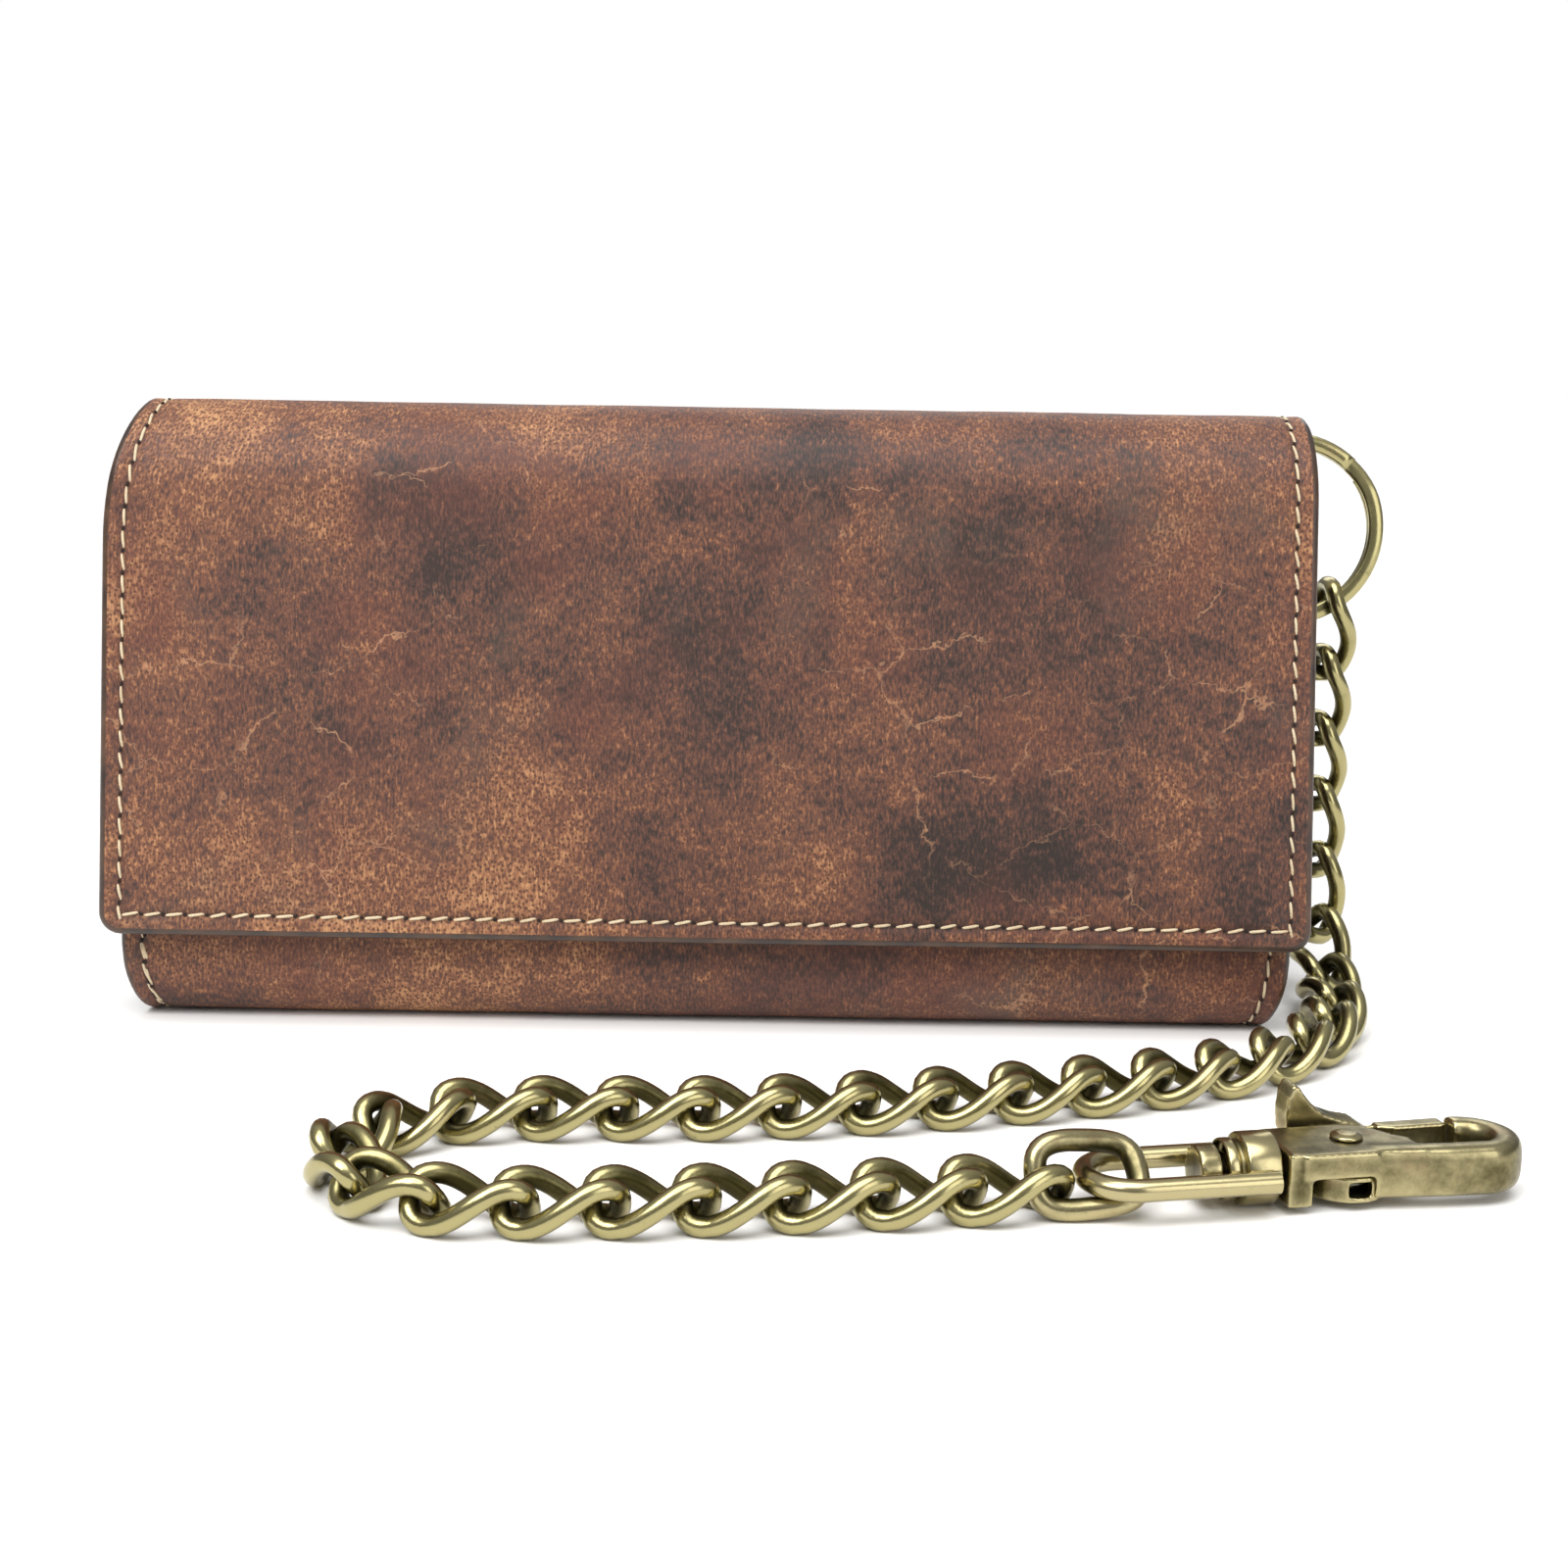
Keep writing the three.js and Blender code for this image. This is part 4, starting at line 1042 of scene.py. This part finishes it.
# ---------- turned and cast metal ----------
def turn_mesh(name, profile, place, material, sides=36):
    """A shape turned about the Z axis of place, from (radius, height) steps."""
    vertices, faces, rings = [], [], []
    for radius, height in profile:
        if radius < 1e-6:
            rings.append([len(vertices)] * sides)
            vertices.append(place @ Vector((0, 0, height)))
            continue
        rings.append(list(range(len(vertices), len(vertices) + sides)))
        for k in range(sides):
            a = TAU * k / sides
            vertices.append(place @ Vector((radius * math.cos(a), radius * math.sin(a), height)))
    for low, high in zip(rings, rings[1:]):
        for k in range(sides):
            m = (k + 1) % sides
            corners = dict.fromkeys((low[k], low[m], high[m], high[k]))
            faces.append(tuple(corners))
    return new_mesh(name, vertices, faces, [material])


def soften(profile, radius):
    """The profile with each corner cut twice, so that a turned edge is rounded."""
    result = [Vector(profile[0])]
    for before, corner, after in zip(profile, profile[1:], profile[2:]):
        before, corner, after = Vector(before), Vector(corner), Vector(after)
        back, ahead = before - corner, after - corner
        a = min(radius, back.length / 2.5)
        b = min(radius, ahead.length / 2.5)
        start, end = corner + back.normalized() * a, corner + ahead.normalized() * b
        result += [start, start.lerp(corner, 0.55).lerp(end.lerp(corner, 0.55), 0.5), end]
    return result + [Vector(profile[-1])]


def turned(name, profile, place, material, body, *nodes, radius=0.25):
    mesh = turn_mesh(name, soften(profile, radius), place, material)
    mark_wear(mesh, 8, 2.5)
    make_piece(name, mesh, body, "antique_brass", *nodes)


def cast_mesh(node, voxel, passes, material, *additions, keep=None):
    """A copy of a CAD shape, with any additions melted in and its edges rounded as in a casting.

    keep is (place, way): what lies beyond the place, along the way, is cut off before the additions.
    """
    work = bmesh.new()
    work.from_mesh(frame["nodes"][node].data)
    bmesh.ops.remove_doubles(work, verts=work.verts, dist=1e-6)
    if keep:
        place, way = keep
        everything = work.verts[:] + work.edges[:] + work.faces[:]
        cut = bmesh.ops.bisect_plane(work, geom=everything, plane_co=place * MM, plane_no=way,
                                     clear_outer=True)
        rim = [e for e in cut["geom_cut"] if isinstance(e, bmesh.types.BMEdge)]
        bmesh.ops.contextual_create(work, geom=rim)
    for addition in additions:
        work.from_mesh(addition)
    mesh = bpy.data.meshes.new("casting")
    work.to_mesh(mesh)
    work.free()
    obj = add_object("casting", mesh)
    remesh = obj.modifiers.new("remesh", "REMESH")
    remesh.mode, remesh.voxel_size = "VOXEL", voxel * MM
    smooth = obj.modifiers.new("smooth", "SMOOTH")
    smooth.factor, smooth.iterations = 0.5, passes
    made = settled(obj)
    made.materials.clear()
    made.materials.append(material)
    made.polygons.foreach_set("use_smooth", [True] * len(made.polygons))
    mark_wear(made, 20, 2.2)
    return made


def slab(place, outline, low, high, lean_out=(0, 0)):
    """A flat-sided block of an outline, whose top is shifted by lean_out."""
    vertices = [place @ Vector((x, y, low)) for x, y in outline]
    vertices += [place @ Vector((x + lean_out[0], y + lean_out[1], high)) for x, y in outline]
    return new_mesh("slab", vertices, tube_faces(2, len(outline)), [])


def bar(place, line, wide, tall, squareness=0.62):
    """A bar with a rounded section that follows a line of (x, y) spots."""
    count, last = 24, len(line) - 1
    vertices = []
    for i, spot in enumerate(line):
        ahead = (Vector(line[min(i + 1, last)]) - Vector(line[max(i - 1, 0)])).normalized()
        for k in range(count):
            a = TAU * k / count
            across = wide / 2 * math.copysign(abs(math.cos(a)) ** squareness, math.cos(a))
            up = tall / 2 * math.copysign(abs(math.sin(a)) ** squareness, math.sin(a))
            vertices.append(place @ Vector((spot[0] - ahead.y * across, spot[1] + ahead.x * across, up)))
    return new_mesh("bar", vertices, tube_faces(len(line), count), [])


def axes(origin, x, z):
    """A placing matrix in millimetres with its X and Z along the given ways."""
    x, z = Vector(x).normalized(), Vector(z).normalized()
    y = z.cross(x).normalized()
    return Matrix.Translation(origin) @ Matrix((x, y, x.cross(y))).transposed().to_4x4()


SNAP_X, SNAP_S, SOCKET_T, STUD_T = 58, 30, -13.4, -11.98
socket_profile = [(0, 0), (6, 0), (6, 0.35), (3.6, 0.5), (3.3, 0.12), (0, 0.12)]
stud_profile = [(0, 0), (5, 0), (5, 0.25), (2.6, 0.3), (2.3, 0.62), (0, 0.62)]
out_of_front = lean(0, 0, -1)
for side, name in ((-1, "left"), (1, "right")):
    socket_at = axes(lean(side * SNAP_X, SNAP_S, SOCKET_T), (1, 0, 0), out_of_front * -1)
    turned(f"snap_socket_{name}_cap", socket_profile, socket_at, BRASS, "flap", f"snap_socket_{name}")
    stud_at = axes(lean(side * SNAP_X, SNAP_S, STUD_T), (1, 0, 0), out_of_front)
    turned(f"snap_stud_{name}_cap", stud_profile, stud_at, BRASS, "wallet", f"snap_stud_{name}")

# ---------- ring strap, rivet and split ring ----------
RING_R = 14.75
ring_low, ring_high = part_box("split_ring")
ring_centre = (ring_low + ring_high) / 2 / MM
ring_s, ring_t = 80, HALF_THICKNESS + 0.3 + 1.6 + 2.6
LOOP_R, STRAP_HALF, STRAP_SEAM = 4.2, 4.5, 3
loop_x = ring_centre.x - RING_R
strap_end = loop_x - 21
strap_path = Path(((strap_end, ring_t - LOOP_R), 0), ((loop_x + LOOP_R, ring_t - LOOP_R), LOOP_R - 0.01),
                  ((loop_x + LOOP_R, ring_t + LOOP_R), LOOP_R - 0.01), ((loop_x - 1.2, ring_t + LOOP_R), 4),
                  ((loop_x - 8, ring_t - 0.7), 5), ((strap_end, ring_t - 0.7), 0), step=1.6)
strap = Hide(strap_path, lambda v: STRAP_HALF, lambda u, p: lean(p.x, ring_s + u, p.y), 1.6, rim=0.6,
             corner=(2.5, 2.5), bands=(0, 0.5, 1.1, 1.7, 2.4), spacing=1.2)
strap_mesh = strap.mesh("ring_strap_leather", STRAP_HIDE, EDGE)
make_piece("ring_strap_leather", strap_mesh, "wallet", "leather", "ring_strap")
row_start, row_end = strap_path.length - 13.5, strap_path.length - 1.8
strap_row = strap.row([(-STRAP_SEAM, row_start), (-STRAP_SEAM, row_end), (STRAP_SEAM, row_end),
                       (STRAP_SEAM, row_start)])
make_piece("ring_strap_stitches", stitch_mesh(strap_row, pitch=2.9, length=2.2, seed=8), "wallet", "leather")
rivet_low, rivet_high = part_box("strap_rivet")
rivet_x = (rivet_low.x + rivet_high.x) / 2 / MM
rivet_at = axes(lean(rivet_x, ring_s, ring_t - 0.65), (1, 0, 0), lean(0, 0, 1))
turned("strap_rivet_head", [(0, 0), (3.4, 0), (3.35, 0.35), (2.9, 0.85), (1.7, 1.2), (0, 1.35)], rivet_at,
       BRASS, "wallet", "strap_rivet")


def split_ring_mesh():
    """A flat wire wound twice, with a step where the two turns change sides."""
    half, flat, turns, steps = 1.2, 0.57, 2, 132
    up, back = lean(0, 1, 0), lean(0, 0, 1)
    section = [(-1, -0.62), (-0.8, -1), (0.8, -1), (1, -0.62), (1, 0.62), (0.8, 1), (-0.8, 1), (-1, 0.62)]
    start = math.radians(47)
    vertices = []
    for i in range(steps + 1):
        share = i / steps
        a = start + TAU * turns * share * 0.985
        cross = clamp((share * turns - 0.93) / 0.1)
        shift = (2 * (cross * cross * (3 - 2 * cross)) - 1) * 0.6
        bow = 0.12 * math.sin(math.pi * clamp((share * turns - 0.9) / 0.16))
        way = Vector((math.cos(a), 0, 0)) + up * math.sin(a)
        for r, t in section:
            vertices.append(ring_centre + way * (RING_R + bow + r * half) + back * (shift + t * flat))
    mesh = new_mesh("split_ring_coil", vertices, tube_faces(steps + 1, len(section)), [BRASS])
    mark_wear(mesh, 3, 1.2)
    return mesh


make_piece("split_ring_coil", split_ring_mesh(), "ring", "antique_brass", "split_ring")

# ---------- chain ----------
# PLAY is the slack in each link; SQUARE is how square its outline is, where 2 would be an ellipse.
PITCH, WIRE_D, WIDTH, PLAY, SQUARE = 11.3, 2.8, 10.7, 0.86, 3.4
LINKS = 32
# The links nearest the ring are rolled over, less and less along the first ROLL_LINKS.
RING_ROLL, ROLL_LINKS = math.radians(36), 6


def link_line(half_length, half_width, twist):
    """The middle line of a curb link: a rounded oblong whose two ends turn against each other."""
    steps = 400
    power = 2 / SQUARE
    line = []
    for a in [TAU * i / steps for i in range(steps)]:
        x = half_length * math.copysign(abs(math.cos(a)) ** power, math.cos(a))
        q = half_width * math.copysign(abs(math.sin(a)) ** power, math.sin(a))
        turn = twist / 2 * math.sin(math.pi / 2 * x / half_length)
        line.append(Vector((x, q * math.cos(turn), q * math.sin(turn))))
    return line


def even_line(line, count):
    """The same closed line with its points spread evenly."""
    marks = [0.0]
    for i, point in enumerate(line):
        marks.append(marks[-1] + (line[(i + 1) % len(line)] - point).length)
    result = []
    for k in range(count):
        at = marks[-1] * k / count
        i = min(bisect.bisect_right(marks, at) - 1, len(line) - 1)
        share = (at - marks[i]) / max(marks[i + 1] - marks[i], 1e-9)
        result.append(line[i].lerp(line[(i + 1) % len(line)], share))
    return result


def shade_loop_inside(mesh):
    """Marks the inside of a loop of wire to be painted dark as shade, and its outside light, before the loop
    is put in its place.
    """
    mesh.update()
    values = []
    for vertex, normal in zip(mesh.vertices, mesh.vertex_normals):
        away = Vector((vertex.co.x * 0.6, vertex.co.y, vertex.co.z)).normalized()
        values.append(clamp(0.52 + 0.5 * normal.vector.dot(away)))
    mark_points(mesh, "wear", values)


def lay_frame(start, end, roll):
    """A placing matrix at start with X towards end, its Z the upper side, rolled about X."""
    x = (end - start).normalized()
    level = math.hypot(x.x, x.y)
    ahead = Vector((x.x / level, x.y / level, 0)) if level > 0.5 else Vector((0, -1, 0))
    up = ahead * -x.z + Vector((0, 0, level))
    y = up.cross(x).normalized()
    return (Matrix.Translation(start) @ Matrix((x, y, x.cross(y))).transposed().to_4x4()
            @ Matrix.Rotation(roll, 4, "X"))


LINK_TWIST, LINK_STEPS, LINK_SEAM, SEAM_WAIST = math.radians(-102), 52, 33, 0.93
link_middle = link_line((PITCH + WIRE_D + PLAY) / 2, (WIDTH - WIRE_D) / 2, LINK_TWIST)
link_path = even_line(link_middle, LINK_STEPS)
seam_marks = [SEAM_WAIST if k == LINK_SEAM else 1.0 for k in range(LINK_STEPS)]
places = [Vector(JOINTS[f"link_{i:02d}_swing"]["pos_m"]) / MM for i in range(1, LINKS + 1)]
places.append(Vector(JOINTS["end_link_swing"]["pos_m"]) / MM)
for i in range(LINKS):
    mesh = grow(WIRE, [link_path], closed=True, marks=seam_marks, Radius=WIRE_D / 2 * MM, Sides=14,
                Finish=BRASS)
    shade_loop_inside(mesh)
    roll = RING_ROLL * max(0, 1 - i / ROLL_LINKS)
    end = places[i + 1].copy()
    if i + 1 == LINKS:
        end.z = places[i].z
    put = lay_frame(places[i], end, roll) @ Matrix.Translation((PITCH / 2, 0, 0))
    put.translation = put.translation * MM
    mesh.transform(put)
    link = f"link_{i + 1:02d}"
    make_piece("curb_" + link, mesh, link, "antique_brass", "chain_" + link)

# ---------- end link and swivel hook ----------
swivel = JOINTS["hook_swivel"]
hook_at = axes(Vector(swivel["pos_m"]) / MM, swivel["axis"], (0, 0, 1))
END_WIRE, END_LENGTH, END_WIDTH = 3.0, 16.6, 12
END_TWIST, END_ROLL = math.radians(-24), math.radians(54)
end_middle = link_line((END_LENGTH - END_WIRE) / 2, (END_WIDTH - END_WIRE) / 2, END_TWIST)
end_path = even_line(end_middle, 56)
end_mesh = grow(WIRE, [end_path], closed=True, Radius=END_WIRE / 2 * MM, Sides=16, Finish=HOOK_BRASS)
shade_loop_inside(end_mesh)
end_mesh.transform(hook_at.to_3x3().to_4x4() @ Matrix.Rotation(END_ROLL, 4, "X"))
spans = [[vertex.co[k] for vertex in end_mesh.vertices] for k in range(3)]
end_centre = Vector([(min(span) + max(span)) / 2 for span in spans])
end_low, end_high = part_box("end_link")
end_mesh.transform(Matrix.Translation((end_low + end_high) / 2 - end_centre))
make_piece("end_link_wire", end_mesh, "end_link", "antique_brass", "end_link")

EYE_HALF, EYE_REACH, EYE_FOOT = 5.8, 25.5, 1.6
eye_bend = EYE_HALF - 0.01
eye_path = Path(((-EYE_FOOT, -EYE_HALF), 0), ((-EYE_REACH, -EYE_HALF), eye_bend),
                ((-EYE_REACH, EYE_HALF), eye_bend), ((-EYE_FOOT, EYE_HALF), 0), step=1.5, turn=0.12)
eye_line = [hook_at @ Vector((p.x, p.y, 0)) for p in eye_path.points]
eye_wire = grow(WIRE, [eye_line], Radius=1.5 * MM, Sides=16, Finish=HOOK_BRASS)
along_hook = hook_at @ Matrix.Rotation(math.pi / 2, 4, "Y")
collar_profile = [(2.3, -7.4), (4.1, -7.4), (4.1, -6.0), (3.7, -5.8), (3.7, -5.2), (4.8, -5.0), (4.8, -0.5),
                  (2.3, -0.5)]
collar_profile = soften(collar_profile + collar_profile[:2], 0.3)[1:-1]
collar = turn_mesh("collar", collar_profile, along_hook, HOOK_BRASS, 40)
eye_mesh = join_meshes("swivel_eye_metal", [eye_wire, collar])
mark_wear(eye_mesh, 8, 2.0)
make_piece("swivel_eye_metal", eye_mesh, "eye", "antique_brass", "swivel_eye")

hook_way = hook_at.to_3x3() @ Vector((1, 0, 0))
pivot = axes(Vector(JOINTS["lever_press"]["pos_m"]) / MM, hook_way, (0, 0, 1))
NOSE = Vector((27.2, -0.2))
NOSE_R = 4.95
nose_line = [(12, -3.9), (17, -4.4), (22, -4.9)]
nose_line += [(NOSE.x + NOSE_R * math.cos(math.radians(a)), NOSE.y + NOSE_R * math.sin(math.radians(a)))
              for a in range(-82, 95, 8)]
nose = bar(hook_at, nose_line, 4.2, 6.9)
shoulder = slab(hook_at, [(2, -5.9), (12, -5.9), (12, -3.5), (2, -3.5)], -0.2, 3.2)
hook_mesh = cast_mesh("hook_body", 0.22, 22, HOOK_BRASS, nose, shoulder,
                      keep=(hook_at @ Vector((18.5, 0, 0)), hook_way))
make_piece("hook_casting", hook_mesh, "hook", "antique_brass", "hook_body")
upright = pivot @ Matrix.Rotation(math.pi / 2, 4, "X")
thumb_tab = [(8.0, 0.6), (5.0, 2.6), (2.6, 3.1), (0.4, 3.9), (-1.3, 5.1), (-2.6, 6.6), (-3.5, 7.9),
             (-4.4, 8.1), (-5.0, 6.6), (-5.3, 4.2), (-5.1, 1.6), (-4.4, 0.2), (-1.0, -0.6), (4.0, -0.6)]
tab = slab(upright, thumb_tab, -7.1, -9.9, (-0.7, 0.6))
gate = slab(pivot, [(7, 7.4), (16.7, 7.7), (16.7, 5.0), (9, 4.8), (7, 5.6)], -2.5, 2.6)
lever_mesh = cast_mesh("hook_lever", 0.2, 12, HOOK_BRASS, tab, gate)
make_piece("lever_casting", lever_mesh, "lever", "antique_brass", "hook_lever")
rivet_profile = [(0, -4), (1.25, -4), (1.25, 3.4), (2.2, 3.45), (2.1, 3.8), (1.3, 4.1), (0, 4.15)]
turned("lever_rivet", rivet_profile, pivot, HOOK_BRASS, "hook", "lever_pin", radius=0.15)
COIL_R, COIL_STEPS, COIL_TURN = 3.3, 55, 22
coil = []
for k in range(COIL_STEPS + 1):
    a = TAU * k / COIL_TURN
    coil.append(pivot @ Vector((COIL_R * math.cos(a), COIL_R * math.sin(a), -2.15 + 0.7 * k / COIL_STEPS)))
coil_mesh = grow(WIRE, [coil], Radius=0.2 * MM, Sides=8, Finish=STEEL)
make_piece("lever_spring_coil", coil_mesh, "hook", "spring_steel", "lever_spring")
for node, name in (("zip_slider", "slider"), ("zip_pull", "pull")):
    make_piece(f"zip_{name}_casting", cast_mesh(node, 0.14, 4, BRASS), name, "antique_brass", node)
